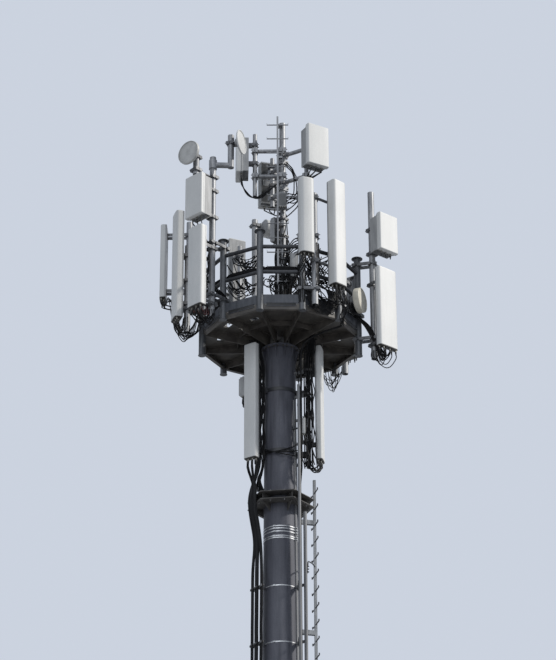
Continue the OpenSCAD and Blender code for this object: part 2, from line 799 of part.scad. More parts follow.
// The antenna on the swing arms of the corner pipe: middle of its back
swing_back = [953, -1200];
swing_turn = 42.6;
swing_foot = 360;
swing_panel = [300, 190, 2100];
swing_arm_h = [800, 2080];
rear_list = [
  [rail_pipe, -155, 1070, 1700, 330, 130, 60, [230, 1300], 45],
  [out_spot(136), 142, 300, 1660, 300, 150, 100, [150, 1480], 45]
];

// The diameter behind an antenna; the tall guard post is thicker and the pipe on the rails thinner
function back_d(a) = a[0] == spot(post_turn[tall_post], post_r) ? post_d
  : a[0] == rail_pipe ? thin_pipe_d : pipe_d;

module panel_set(list, plugs) {
  for (a = list) facing(a[0], a[1], deck_z + a[2]) translate([0, -back_d(a) / 2 - a[6], 0])
    panel(a[4], a[5], a[3], a[8], plugs);
}

module left_panels() {
  color("gainsboro") panel_set(left_list, 6);
}

module right_panels() {
  color("gainsboro") {
    panel_set(right_list, 6);
    facing(swing_back, swing_turn, deck_z + swing_foot)
      panel(swing_panel[0], swing_panel[1], swing_panel[2], 50, 6);
  }
}

module rear_panels() {
  color("gainsboro") panel_set(rear_list, 4);
}

// The two slim antennas held against the pole below the deck
low_panel_w = 255;
low_panel_t = 120;
low_panel_h = 2200;
low_left_z = -2520;
low_right_z = -2450;
low_left_gap = 60;
low_right_gap = 110;
low_left_face = -34;
low_right_face = 78;
low_bracket_h = [-760, -2120];
low_plugs = 5;

// One of the two: bearing of its pipe, bearing faced, foot against the deck, gap to the pipe
module low_panel(turn, face, foot, gap) {
  facing(spot(turn, low_pipe_r), face, deck_z + foot) translate([0, -low_pipe_d / 2 - gap, 0])
    panel(low_panel_w, low_panel_t, low_panel_h, 35, low_plugs);
}

module low_panels() {
  color("gainsboro") {
    low_panel(low_left_turn, low_left_face, low_left_z, low_left_gap);
    low_panel(low_right_turn, low_right_face, low_right_z, low_right_gap);
  }
}

// Heights above the foot of the brackets of an antenna whose pipe hangs on two arms
function arm_brackets(arms, foot) = [(arms[0] + arms[1]) / 2 - foot, arms[1] + 125 - foot];

side_foot = side_arm_h[0] - 16;
front_foot = front_arm_h[0] + 8;
back_foot = back_arm_h[0] - 70;
left_box = [out_spot(-44), -43, 1615, 830, 410, 287, 150, [150, 690]];
right_box = [out_spot(76), 39, 1332, 750, 425, 300, 120, [130, 620]];
mast_boxes = [
  [side_pipe, -88, side_foot, 770, 430, 240, 80, arm_brackets(side_arm_h, side_foot)],
  [front_pipe, 30, front_foot, 842, 440, 300, 110, arm_brackets(front_arm_h, front_foot)],
  [back_pipe, -165, back_foot, 960, 400, 190, 90, arm_brackets(back_arm_h, back_foot)]
];

module box_set(list, d) {
  for (a = list) facing(a[0], a[1], deck_z + a[2]) translate([0, -d / 2 - a[6], 0])
    box_antenna(a[4], a[5], a[3], 90);
}

module left_box_antenna() {
  color("gainsboro") box_set([left_box], pipe_d);
}

module right_box_antenna() {
  color("gainsboro") box_set([right_box], pipe_d);
}

module mast_box_antennas() {
  color("gainsboro") box_set(mast_boxes, thin_pipe_d);
}

// Round link dish with a rim and a radio drum on its back, facing -Y, its front at the origin
module dish(d, depth, drum_d, drum_l) {
  rotate([90, 0, 0]) rotate_extrude($fn = 96) polygon([
    [0, 0], [d / 2 - 6, 0], [d / 2, -6], [d / 2, -depth],
    [d / 2 - 14, -depth], [drum_d / 2, -depth - 60], [drum_d / 2, -depth - 60 - drum_l],
    [0, -depth - 60 - drum_l]
  ]);
}

// Link dishes: pipe place, pipe diameter, bearing, height of the middle, diameter and depth of the dish,
// diameter and length of the drum
dish_list = [
  [boom_end, pipe_d, 70, boom_h + 450, dish_d, 30, 150, 30],
  [left_stub, pipe_d, -37, boom_h - 5, dish_d, 55, 150, 30],
  [right_stub, stub_d, 68, 370, dish_d, 110, 200, 40],
  [out_spot(-164), pipe_d, 118, 3230, dish_d - 100, 180, 160, 40]
];
dish_gap = 38;

module link_dishes() {
  color("ivory") for (a = dish_list) facing(a[0], a[2], deck_z + a[3])
    translate([0, -a[1] / 2 - dish_gap - a[5] - 60 - a[7], 0]) dish(a[4], a[5], a[6], a[7]);
}

// Radio units: pipe place, pipe diameter, bearing, foot against the deck, height, width, depth, gap
radio_list = [
  [[mast_x, 0], mast_d, 0, 2600, 300, 150, 60, 100],
  [[mast_x, 0], mast_d, -135, 2000, 500, 205, 120, 60],
  [[mast_x, 0], mast_d, 180, 520, 480, 320, 150, 60],
  [[mast_x, 0], mast_d, 95, 1180, 480, 320, 150, 60]
];

// Radio body with plugs under it, its foot at z = 0 and its back at y = 0
module radio(w, t, h) {
  translate([-w / 2, -t, 0]) cube([w, t, h]);
  for (i = [-1, 0, 1]) translate([i * w / 4, -t / 2, -30]) cylinder(h = 40, d = 20);
}

module radio_units() {
  color("lightgray") {
    for (a = radio_list) facing(a[0], a[2], deck_z + a[3]) translate([0, -a[1] / 2 - a[7], 0])
      radio(a[5], a[6], a[4]);
    facing(spot(low_left_turn, low_pipe_r), small_left_turn, deck_z + small_left_h)
      translate([0, -low_pipe_d / 2 - clamp_t + 4 - small_left_arm, 0])
        radio(small_left[1], small_left[0], small_left[2]);
    translate([small_right[0], small_right[1], deck_z + small_right_h])
      radio(small_right_size[0], small_right_size[1], small_right_size[2]);
  }
}

bracket_h = 60;

module brackets_for(a, d) {
  for (z = a[7]) facing(a[0], a[1], deck_z + a[2] + z) stand_bracket(d, a[6], bracket_h);
}

// Arm from the corner pipe to the back of the swing antenna
module swing_arm(h) {
  facing(corner_pipe, 90, deck_z + h) clamp_pair(pipe_d, 70, pipe_d + 44);
  bar([corner_pipe[0] + pipe_d / 2 + 10, corner_pipe[1] + 15, deck_z + h],
    [swing_back[0] - 38, swing_back[1] + 26, deck_z + h], 50);
  facing(swing_back, swing_turn, deck_z + h) {
    translate([-60, 0, -90]) cube([120, 10, 180]);
    translate([-22, 0, -45]) cube([44, 70, 90]);
  }
}

module antenna_brackets() {
  color("slategray") {
    for (a = left_list) brackets_for(a, pipe_d);
    brackets_for(right_list[0], post_d);
    brackets_for(right_list[1], pipe_d);
    for (a = rear_list) brackets_for(a, back_d(a));
    for (a = [left_box, right_box]) brackets_for(a, pipe_d);
    for (a = mast_boxes) brackets_for(a, thin_pipe_d);
    for (h = swing_arm_h) swing_arm(h);
    for (a = dish_list) facing(a[0], a[2], deck_z + a[3]) {
      clamp_pair(a[1], 60, a[1] + 44);
      translate([0, -a[1] / 2 - dish_gap, 0]) rotate([-90, 0, 0])
        cylinder(h = dish_gap - clamp_t + 1, d = 50);
    }
    for (a = radio_list, z = [70, a[4] - 70]) facing(a[0], a[2], deck_z + a[3] + z)
      stand_bracket(a[1], a[7], 50);
    for (h = low_bracket_h) {
      facing(spot(low_left_turn, low_pipe_r), low_left_face, deck_z + h)
        stand_bracket(low_pipe_d, low_left_gap, bracket_h);
      facing(spot(low_right_turn, low_pipe_r), low_right_face, deck_z + h)
        stand_bracket(low_pipe_d, low_right_gap, bracket_h);
    }
  }
}

// Feeder cables: a flat row on the left of the pole, led over a face of the collar
feeder_turn = collar_turn - 90;
feeder_n = 10;
feeder_pitch = 34;
feeder_off = 140;
// Half of the row comes from the left antenna's plugs, the rest from a hole in the floor
feeder_up_n = feeder_n - low_plugs;
feeder_up_r = 370;

function turned(p, a) = [p[0] * cos(a) - p[1] * sin(a), p[0] * sin(a) + p[1] * cos(a)];
// Distance of the row from the axis at a height below the collar
function row_r(z) = pole_r(z) + feeder_off;
// Point of cable i of the row at a distance from the axis and a height
function in_row(i, r, z) = let(p = turned([(i - (feeder_n - 1) / 2) * feeder_pitch, -r], feeder_turn))
  [p[0], p[1], z];
// The end of a plug under one of the two slim antennas
function low_plug(i, turn, face, foot, gap) = let(
    x = (i - (low_plugs - 1) / 2) * (low_panel_w - 80) / (low_plugs - 1),
    y = -low_pipe_d / 2 - gap - low_panel_t * (i % 2 == 0 ? 0.35 : 0.65),
    p = spot(turn, low_pipe_r) + turned([x, y], face))
  [p[0], p[1], deck_z + foot - 45];
// A place in a hole of the floor: bay, distance from the axis, which cable of how many
function in_hole(bay, r, i, n, z) = let(
    p = turned([(i - (n - 1) / 2) * 30, -r], post_turn[bay] + side_step / 2)) [p[0], p[1], z];

// Lower part of each route: over the collar's face, along the pole and out over the base plate's edge
function row_route(i) = concat(
  smooth([in_row(i, collar_face_r, collar_z + 160), in_row(i, collar_face_r, collar_z - 160),
    in_row(i, row_r(collar_z - 700), collar_z - 700),
    in_row(i, row_r(collar_z - 1000), collar_z - 1000)], 3),
  smooth([in_row(i, row_r(1500), 1500), in_row(i, row_r(1500) + 15, 1200), in_row(i, row_r(0) + 110, 500),
    in_row(i, row_r(0) + 170, 200), in_row(i, row_r(0) + 175, 0)], 3));
collar_face_r = collar_r * cos(30) + feeder_d / 2 + 8;

module left_feeders() {
  color("black") {
    for (i = [0 : feeder_up_n - 1]) let(k = feeder_up_n - 1 - i) cable(concat(
      [in_hole(2, 640, k, feeder_up_n, deck_z)],
      smooth([in_hole(2, 640, k, feeder_up_n, head_z + 40), in_hole(2, 540, k, feeder_up_n, head_z - 110),
        in_row(i, feeder_up_r + 20, head_z - 330), in_row(i, feeder_up_r, head_z - 700)], 3),
      smooth([in_row(i, feeder_up_r, collar_z + 900), in_row(i, feeder_up_r + 20, collar_z + 640)], 2),
      row_route(i)), feeder_d);
    for (i = [feeder_up_n : feeder_n - 1]) let(
      p = low_plug(i - feeder_up_n, low_left_turn, low_left_face, low_left_z, low_left_gap))
      cable(concat([p],
        smooth([p - [0, 0, 14], p - [0, 0, 120], in_row(i, collar_face_r + 25, collar_z + 340)], 3),
        row_route(i)), feeder_d);
  }
}

// Grey conduits on the right: one in front of the collar, one that starts under it, and a flat duct
front_conduit = [318, -475];
side_conduit_turn = 52.5;
side_conduit_r = 520;
front_conduit_top = deck_z - 1150;
duct_low = base_plate_t + base_rib_h + 100;
duct_top = deck_z - 1300;

module right_conduits() {
  low = collar_z - collar_h / 2 - collar_rib_h;
  color("gray") {
    translate([front_conduit[0], front_conduit[1], base_plate_t])
      cylinder(h = front_conduit_top - base_plate_t, d = conduit_d);
    at(side_conduit_turn, side_conduit_r, base_plate_t) cylinder(h = low - base_plate_t, d = conduit_d + 12);
    difference() {
      hull() for (z = [duct_low, duct_top - 10])
        at(duct_turn, pole_r(z) + duct_t - 12, z) translate([-duct_w / 2, 0, 0])
          cube([duct_w, duct_t - 12, 10]);
      pole_core(duct_low - 10, duct_top + 10);
      for (h = low_band_z) pole_core(deck_z + h - low_band_h / 2, deck_z + h + low_band_h / 2, low_band_t);
      translate([0, 0, joint_z - flange_t]) cylinder(h = 2 * flange_t, r = pole_r(joint_z) + flange_lip);
      for (z = [collar_z - collar_h / 2, collar_z + collar_h / 2 - collar_plate_t]) collar_plate(z);
    }
  }
}

main_cable_d = 34;
riser_n = low_plugs;
riser_y = -260;
riser_x = 420;

module right_feeders() {
  back = front_conduit + [17, 44];
  beside = front_conduit + [44, 25];
  color("black") {
    cable(concat(
      smooth([[1070, -850, deck_z - floor_t - rim_h - 3], [1055, -848, deck_z - 200],
        [875, -800, deck_z - 240], [620, -660, deck_z - 285], [430, -530, deck_z - 360],
        [beside[0] + 8, beside[1] - 12, deck_z - 520],
        [beside[0], beside[1], deck_z - 800]], 3),
      smooth([[beside[0], beside[1], collar_z + 500], [back[0], back[1], collar_z + 200]], 2),
      [[back[0], back[1], collar_z - 300], [back[0], back[1], base_plate_t]]), main_cable_d);
    for (i = [0 : riser_n - 1]) let(
      x = riser_x + i * 32, p = low_plug(i, low_right_turn, low_right_face, low_right_z, low_right_gap),
      foot = p[2] - 130 - 25 * (i % 3))
      cable(concat([in_hole(7, 640, i, riser_n, deck_z)],
        smooth([in_hole(7, 640, i, riser_n, head_z + 60), [x + 20, riser_y, head_z - 160],
          [x, riser_y, head_z - 420]], 3),
        smooth([[x, riser_y, p[2] + 200], [x + 5, riser_y, (p[2] + foot) / 2],
          [(x * 2 + p[0]) / 3, (riser_y * 2 + p[1]) / 3, foot],
          [(x + p[0] * 2) / 3, (riser_y + p[1] * 2) / 3, foot],
          [p[0], p[1], (p[2] + foot) / 2], p - [0, 0, 14]], 3), [p]), feeder_d - 4);
  }
}

clip_t = 40;
riser_clip_h = [-780, -1250, -1700, -2150];
riser_arm_turn = 66;

// Arms from the pole to the cable runs, with a cross bar that the cables lie against
module feeder_clips() {
  color("silver") {
    for (z = strap_z) if (z < collar_z - 1000) difference() {
      union() {
        rotate([0, 0, feeder_turn]) {
          translate([-feeder_n * feeder_pitch / 2, -row_r(z) + feeder_d / 2, z - clip_t / 2])
            cube([feeder_n * feeder_pitch, 8, clip_t]);
          translate([-20, -row_r(z) + feeder_d / 2 + 4, z - clip_t / 2]) cube([40, row_r(z) - 50, clip_t]);
        }
        translate([front_conduit[0] - 40, front_conduit[1] + conduit_d / 2, z - clip_t / 2])
          cube([36, 450, clip_t]);
        at(side_conduit_turn, side_conduit_r - conduit_d / 2 - 6, z - clip_t / 2) translate([-20, 0, 0])
          cube([40, side_conduit_r - 200, clip_t]);
      }
      pole_core(z - clip_t, z + clip_t, strap_t);
      translate([0, 0, z - clip_t]) cylinder(h = 2 * clip_t, r = pole_r(z) - 40);
      duct_room(z, strap_t + 0.5);
    }
    for (h = riser_clip_h) difference() {
      union() {
        translate([riser_x - 30, riser_y + feeder_d / 2 - 2, deck_z + h])
          cube([riser_n * 32 + 30, 8, clip_t]);
        rotate([0, 0, riser_arm_turn]) translate([-20, -460, deck_z + h]) cube([40, 320, clip_t]);
        translate([riser_x - 20, riser_y + feeder_d / 2, deck_z + h]) cube([40, 80, clip_t]);
      }
      pole_core(deck_z + h - 10, deck_z + h + clip_t + 10);
    }
  }
}

// Drip loop from a plug at a to a pipe at b, standing off the pipe along a side vector off
module drip_loop(a, b, off, drop) {
  low = min(a[2], b[2]) - drop;
  c = b + off;
  cable(concat([a], smooth([
    a - [0, 0, 10], [a[0], a[1], (a[2] + low) / 2], [(a[0] * 2 + c[0]) / 3, (a[1] * 2 + c[1]) / 3, low],
    [(a[0] + c[0] * 2) / 3, (a[1] + c[1] * 2) / 3, low + drop * 0.1], [c[0], c[1], (b[2] + low) / 2], b
  ], 3)), jumper_d);
}

// Jumpers from the plugs of an antenna to the pipe behind it
module jumpers_for(a, n, drop) {
  back_y = -pipe_d / 2 - a[6];
  reach = (pipe_d + jumper_d) / 2 + 1;
  facing(a[0], a[1], deck_z + a[2]) for (i = [0 : n - 1]) {
    turn = (i - (n - 1) / 2) * 34;
    drip_loop(
      [(i - (n - 1) / 2) * (a[4] - 80) / (n - 1), back_y - a[5] * (i % 2 == 0 ? 0.35 : 0.65), -45],
      [reach * sin(turn), -reach * cos(turn), 60], [20 * sin(turn), -20 * cos(turn), 0],
      drop + drop * 0.4 * (i % 3));
  }
}

module jumper_cables() {
  color("black") {
    jumpers_for(left_list[0], 6, 130);
    jumpers_for(left_list[1], 6, 130);
    jumpers_for(left_list[2], 6, 70);
    jumpers_for(right_list[1], 6, 130);
  }
}

base_plate();
base_ribs();
pole_lower();
pole_middle();
pole_upper();
joint_flanges();
pole_collar();
strap_bands();
climbing_ladder();
climbing_rungs();
ladder_brackets();
head_flange();
deck_beams();
inner_ring();
deck_rim();
deck_floor();
toe_boards();
guard_posts();
post_caps();
top_rail();
middle_rail();
central_mast();
mast_ladder();
mast_rungs();
mast_arms();
mast_pipes();
left_pipes();
right_pipes();
rear_pipes();
pipe_clamps();
dish_boom();
low_clamps();
left_panels();
right_panels();
rear_panels();
low_panels();
left_box_antenna();
right_box_antenna();
mast_box_antennas();
link_dishes();
radio_units();
antenna_brackets();
left_feeders();
right_conduits();
right_feeders();
feeder_clips();
jumper_cables();
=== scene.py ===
import random
from math import atan2, cos, degrees, pi, radians, sin, tau

import bmesh
import bpy
from mathutils import Matrix, Vector


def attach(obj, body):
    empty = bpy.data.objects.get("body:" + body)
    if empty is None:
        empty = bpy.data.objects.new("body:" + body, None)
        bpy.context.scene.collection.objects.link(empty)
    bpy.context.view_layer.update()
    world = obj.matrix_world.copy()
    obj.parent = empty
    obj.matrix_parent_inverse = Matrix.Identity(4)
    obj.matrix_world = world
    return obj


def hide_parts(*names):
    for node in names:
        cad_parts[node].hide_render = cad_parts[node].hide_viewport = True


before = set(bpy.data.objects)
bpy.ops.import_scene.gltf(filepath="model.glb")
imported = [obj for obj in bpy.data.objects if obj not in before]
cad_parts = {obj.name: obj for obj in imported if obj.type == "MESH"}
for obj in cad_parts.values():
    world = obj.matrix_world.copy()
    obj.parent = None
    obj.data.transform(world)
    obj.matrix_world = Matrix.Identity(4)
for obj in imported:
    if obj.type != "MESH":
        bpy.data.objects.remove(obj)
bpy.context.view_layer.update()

# The view: eye height, 38 m in front of the pole, tilted up at the deck as the photograph was.
# The lens is long, so the deck's ellipse and the columns of antennas keep their true proportions.
eye_back, eye_height, pitch, roll = -38.2, 1.6, 27.0, -0.26
eye = bpy.data.cameras.new("eye")
eye.sensor_fit = "AUTO"
eye.sensor_width = 36.0
eye.lens = 130.9
eye.shift_x = -2.0 / 660.0
eye.clip_end = 300.0
eye_stand = bpy.data.objects.new("eye", eye)
eye_stand.matrix_world = (
    Matrix.Translation((0.0, eye_back, eye_height))
    @ Matrix.Rotation(radians(90.0 + pitch), 4, "X")
    @ Matrix.Rotation(radians(roll), 4, "Z")
)
bpy.context.scene.collection.objects.link(eye_stand)
bpy.context.scene.camera = eye_stand

# The studio: a pale floor under the tower, a soft high key from the right, and a pale surround.
# The surround looks pale to the camera and to reflections, and lights the object at a plain level.
studio = bpy.context.scene
studio.view_settings.view_transform = "Standard"
surround = bpy.data.worlds.new("surround")
surround.use_nodes = True
studio.world = surround


def feed(node, fed):
    """Gives a node's inputs, by name or number, a value, a socket, or the first output of another node."""
    for key, value in fed.items():
        if isinstance(value, bpy.types.Node):
            value = value.outputs[0]
        if isinstance(value, bpy.types.NodeSocket):
            node.id_data.links.new(value, node.inputs[key])
        else:
            node.inputs[key].default_value = value


def add(tree, kind, fed=None, **settings):
    """Adds a node with its settings, and feeds it."""
    node = tree.nodes.new(kind)
    for key, value in settings.items():
        setattr(node, key, value)
    feed(node, fed or {})
    return node


def stand_in(name, data):
    """Puts a new object in the scene."""
    made = bpy.data.objects.new(name, data)
    studio.collection.objects.link(made)
    return made


air = surround.node_tree
fill = air.nodes["Background"]
feed(fill, {"Color": (0.76, 0.86, 1.0, 1.0), "Strength": 0.36})
seen = add(air, "ShaderNodeBackground", {"Color": (0.60, 0.65, 0.74, 1.0), "Strength": 1.0})
rays = add(air, "ShaderNodeLightPath").outputs
either = add(air, "ShaderNodeMath", {0: rays["Is Camera Ray"], 1: rays["Is Glossy Ray"]}, operation="MAXIMUM")
any_ray = add(air, "ShaderNodeMath", {0: either, 1: rays["Is Transmission Ray"]}, operation="MAXIMUM")
choose = add(air, "ShaderNodeMixShader", {0: any_ray, 1: fill, 2: seen})
feed(air.nodes["World Output"], {"Surface": choose})


def lamp(name, bearing, height, strength, spread, tint):
    """Adds a distant lamp that shines from a bearing and a height in degrees."""
    light = bpy.data.lights.new(name, "SUN")
    light.energy = strength
    light.angle = radians(spread)
    light.color = tint
    a, b = radians(bearing), radians(height)
    source = Vector((sin(a) * cos(b), -cos(a) * cos(b), sin(b)))
    stand_in(name, light).rotation_euler = source.to_track_quat("Z", "Y").to_euler()


lamp("key", 84.0, 38.0, 3.6, 4.0, (1.0, 0.965, 0.91))
lamp("front_fill", -18.0, 22.0, 0.76, 45.0, (0.93, 0.96, 1.0))

floor_mesh = bpy.data.meshes.new("studio_floor")
floor_shape = bmesh.new()
bmesh.ops.create_circle(floor_shape, cap_ends=True, radius=120.0, segments=96)
floor_shape.to_mesh(floor_mesh)
floor_shape.free()
floor_mat = bpy.data.materials.new("studio_floor")
floor_mat.use_nodes = True
feed(floor_mat.node_tree.nodes["Principled BSDF"], {"Base Color": (0.36, 0.37, 0.39, 1.0), "Roughness": 0.9})
floor_mesh.materials.append(floor_mat)
studio_floor = stand_in("studio_floor", floor_mesh)
studio_floor.location = (0.0, 0.0, -0.002)

# Base flange and its stiffeners: thick steel plate, flame cut, welded to the pole and painted with it.
# The coat is a dark blue-grey paint, chalky and run by rain, so its tone drifts down the metal.
# Twelve anchor bolts with washers and heavy nuts hold the flange; the nuts are set by a scatter tree.


def coat(name, tones, rough=(0.42, 0.6), metal=0.0, cloud=(1.6, 1.6, 0.28), speck=70.0, relief=0.12,
         grime=0.0, shine=0.5):
    """Finish in slow drifts of three tones, in thousandths, with fine specks in colour, roughness and relief,
    and dirt in blotches."""
    material = bpy.data.materials.new(name)
    material.use_nodes = True
    tree = material.node_tree
    shade = tree.nodes["Principled BSDF"]
    place = add(tree, "ShaderNodeTexCoord").outputs["Object"]
    stretch = add(tree, "ShaderNodeMapping", {"Vector": place, "Scale": cloud})
    drift = add(tree, "ShaderNodeTexNoise", {
        "Vector": stretch, "Scale": 2.4, "Detail": 7.0, "Roughness": 0.62})
    ramp = add(tree, "ShaderNodeValToRGB", {"Fac": drift})
    stops = ramp.color_ramp.elements
    stops[0].position, stops[1].position = 0.33, 0.68
    low, middle, high = ([part / 1000 for part in tone] + [1.0] for tone in tones)
    stops[0].color, stops[1].color = low, high
    stops.new(0.5).color = middle
    grain = add(tree, "ShaderNodeTexNoise", {"Vector": place, "Scale": speck, "Detail": 3.0})
    tint = add(tree, "ShaderNodeMapRange",
               {"Value": grain, "From Min": 0.3, "From Max": 0.7, "To Min": 0.86, "To Max": 1.12})
    if grime:
        runs = add(tree, "ShaderNodeMapping", {"Vector": place, "Scale": (9.0, 9.0, 0.7)})
        blotch = add(tree, "ShaderNodeTexNoise", {"Vector": runs, "Scale": 1.7, "Detail": 9.0})
        fade = add(tree, "ShaderNodeMapRange", {
            "Value": blotch, "From Min": 0.50, "From Max": 0.72, "To Min": 1.0, "To Max": 1.0 - grime})
        tint = add(tree, "ShaderNodeMath", {0: tint, 1: fade}, operation="MULTIPLY")
    both = add(tree, "ShaderNodeVectorMath", {0: ramp, "Scale": tint}, operation="SCALE")
    polish = add(tree, "ShaderNodeMapRange", {"Value": grain, "To Min": rough[0], "To Max": rough[1]})
    bump = add(tree, "ShaderNodeBump", {"Height": grain, "Strength": relief, "Distance": 0.002})
    feed(shade, {"Metallic": metal, "Specular IOR Level": shine, "Base Color": both, "Roughness": polish,
                 "Normal": bump})
    return material


def dress(material, *nodes):
    """Gives nodes of the built part their finish."""
    for node in nodes:
        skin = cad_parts[node].data.materials
        if len(skin):
            for i in range(len(skin)):
                skin[i] = material
        else:
            skin.append(material)


def spot(turn, reach):
    """The point at a bearing from the front, -Y, towards +X, and a distance from the axis."""
    return Vector((reach * sin(radians(turn)), -reach * cos(radians(turn)), 0.0))


def facing(place, turn, height):
    """Frame of something drawn facing -Y and turned to a bearing at a place and a height."""
    return Matrix.Translation((place[0], place[1], height)) @ Matrix.Rotation(radians(turn), 4, "Z")


def shift(x, y, z):
    return Matrix.Translation((x, y, z))


def lathe(shape, place, profile, sides, mat=0):
    """Turned form: (radius, height) pairs round the place's Z axis."""
    rings = []
    for radius, height in profile:
        around = [k * tau / sides for k in range(sides if radius else 1)]
        rings.append([shape.verts.new(place @ Vector((radius * cos(a), radius * sin(a), height)))
                      for a in around])
    for low, high in zip(rings, rings[1:]):
        if len(low) == len(high) == 1:
            continue
        for k in range(sides):
            j = (k + 1) % sides
            corners = (low[k % len(low)], low[j % len(low)], high[j % len(high)], high[k % len(high)])
            shape.faces.new(list(dict.fromkeys(corners))).material_index = mat


def settle(name, shape, materials, slot, *nodes):
    """Turns a shape into a piece of the object, with its hard edges kept, and hides the parts of the model
    that it stands for.
    """
    bmesh.ops.recalc_face_normals(shape, faces=shape.faces)
    for face in shape.faces:
        face.smooth = True
    for edge in shape.edges:
        edge.smooth = len(edge.link_faces) == 2 and edge.calc_face_angle(0.0) < radians(32.0)
    mesh = bpy.data.meshes.new(name)
    shape.to_mesh(mesh)
    shape.free()
    for material in materials:
        mesh.materials.append(material)
    piece = stand_in(name, mesh)
    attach(piece, "root")
    if nodes:
        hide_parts(*nodes)


def open_tree(name, inputs, output):
    """Starts a node tree with named inputs and one geometry output; gives the inputs' identifiers too."""
    tree = bpy.data.node_groups.new(name, "GeometryNodeTree")
    keys = [tree.interface.new_socket(name=label, in_out="INPUT", socket_type="NodeSocket" + kind).identifier
            for label, kind in inputs]
    tree.interface.new_socket(name=output, in_out="OUTPUT", socket_type="NodeSocketGeometry")
    return tree, keys, tree.nodes.new("NodeGroupInput").outputs


def close_tree(tree, geometry, material):
    """Ends a tree: what it instances is made real and given its material."""
    real = add(tree, "GeometryNodeRealizeInstances", {0: geometry})
    paint = add(tree, "GeometryNodeSetMaterial", {"Geometry": real, "Material": material})
    add(tree, "NodeGroupOutput", {0: paint})


def grow(piece, tree, keys, values):
    """Mesh that a tree makes on a piece, with its inputs set by identifier; no modifier stays."""
    live = piece.modifiers.new("grow", "NODES")
    live.node_group = tree
    for key, value in zip(keys, values):
        live[key] = value
    graph = bpy.context.evaluated_depsgraph_get()
    baked = bpy.data.meshes.new_from_object(piece.evaluated_get(graph), depsgraph=graph)
    piece.modifiers.clear()
    return baked


def scatter_tree(name, material):
    """Instances a fastener on each point, along the point's aim, at its size, with a seeded spin."""
    tree, keys, start = open_tree(
        name, (("Points", "Geometry"), ("Fastener", "Object"), ("Seed", "Int")), "Fasteners")
    aim = add(tree, "GeometryNodeInputNamedAttribute", {"Name": "aim"}, data_type="FLOAT_VECTOR")
    size = add(tree, "GeometryNodeInputNamedAttribute", {"Name": "size"}, data_type="FLOAT")
    along = add(tree, "FunctionNodeAlignRotationToVector", {"Vector": aim}, axis="Z")
    most = 3  # the input for the largest value
    spin = add(tree, "FunctionNodeRandomValue", {most: pi / 3.0, "Seed": start["Seed"]}, data_type="FLOAT")
    about = add(tree, "FunctionNodeAxisAngleToRotation", {"Angle": spin.outputs[1]})
    turn = add(tree, "FunctionNodeRotateRotation", {0: along, 1: about}, rotation_space="LOCAL")
    source = add(tree, "GeometryNodeObjectInfo", {"Object": start["Fastener"]})
    put = add(tree, "GeometryNodeInstanceOnPoints", {
        "Points": start["Points"], "Instance": source.outputs["Geometry"], "Rotation": turn,
        "Scale": size})
    close_tree(tree, put, material)
    return tree, keys


def scatter(name, spots, fastener, material, seed):
    """Sets a fastener at each (place, aim, size) and bakes them into one piece."""
    mesh = bpy.data.meshes.new(name)
    mesh.from_pydata([tuple(s[0]) for s in spots], [], [])
    mesh.attributes.new("aim", "FLOAT_VECTOR", "POINT")
    mesh.attributes.new("size", "FLOAT", "POINT")
    for i, (_, aim, size) in enumerate(spots):
        mesh.attributes["aim"].data[i].vector = aim
        mesh.attributes["size"].data[i].value = size
    piece = stand_in(name, mesh)
    tree, keys = scatter_tree(name, material)
    piece.data = grow(piece, tree, keys[1:], (fastener, seed))
    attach(piece, "root")


pole_coat = coat("pole_coat", [(72, 74, 90), (97, 100, 120), (130, 133, 155)], grime=0.3, shine=0.2)
zinc_coat = coat("zinc_coat", [(200, 210, 220), (270, 280, 290), (360, 370, 380)],
                 metal=0.5, cloud=(5, 5, 1.5), speck=45.0, grime=0.35)
bolt_zinc = coat("bolt_zinc", [(220, 220, 220), (300, 300, 300), (400, 390, 380)],
                 metal=0.7, cloud=(20, 20, 20), speck=160.0)
dress(pole_coat, "base_plate", "base_ribs")

flange_top, deck = 0.045, 20.9
bolt_shape = bmesh.new()
for profile, sides in (
        ([(0.017, 0.0), (0.017, 0.003), (0.009, 0.003)], 10),
        ([(0.0139, 0.003), (0.0139, 0.014), (0.0115, 0.016), (0.0, 0.016)], 6),
        ([(0.008, 0.016), (0.008, 0.027), (0.0, 0.028)], 6)):
    lathe(bolt_shape, Matrix.Identity(4), profile, sides)
bmesh.ops.recalc_face_normals(bolt_shape, faces=bolt_shape.faces)
bolt_mesh = bpy.data.meshes.new("bolt")
bolt_shape.to_mesh(bolt_mesh)
bolt_shape.free()
bolt = bpy.data.objects.new("bolt", bolt_mesh)
anchors = [(Vector((0.55 * cos(a), 0.55 * sin(a), flange_top)), (0, 0, 1), 2.4)
           for a in (radians(15 + 30 * i) for i in range(12))]
scatter("anchor_nuts", anchors, bolt, bolt_zinc, 3)

# Pole: three tapered tubes rolled from 8 mm sheet, welded up and painted dark blue-grey, with a bolted joint.
# Bright stainless straps run round it every metre; each one is drawn tight by a small buckle.
# The six-sided collar under the deck is bolted together through its two plates.
dress(pole_coat, "pole_lower", "pole_middle", "pole_upper", "joint_flanges", "head_flange")
collar_paint = coat("collar_paint", [(60, 57, 54), (85, 81, 76), (120, 115, 108)],
                    cloud=(4, 4, 4), grime=0.3, shine=0.3)
dress(collar_paint, "pole_collar")
dark_coat = coat("dark_coat", [(14, 15, 18), (22, 23, 27), (34, 35, 40)], cloud=(4, 4, 4))
dress(dark_coat, "low_clamps")
strap_steel = coat("strap_steel", [(340, 350, 360), (450, 460, 470), (580, 590, 600)],
                   rough=(0.3, 0.45), metal=0.6, cloud=(6, 6, 6))
dress(strap_steel, "strap_bands")
pole_foot_r, pole_narrows, pole_top = 0.44, 0.17, 20.61


def pole_r(z):
    """Radius of the pole at a height."""
    return pole_foot_r - pole_narrows * (z - flange_top) / (pole_top - flange_top)


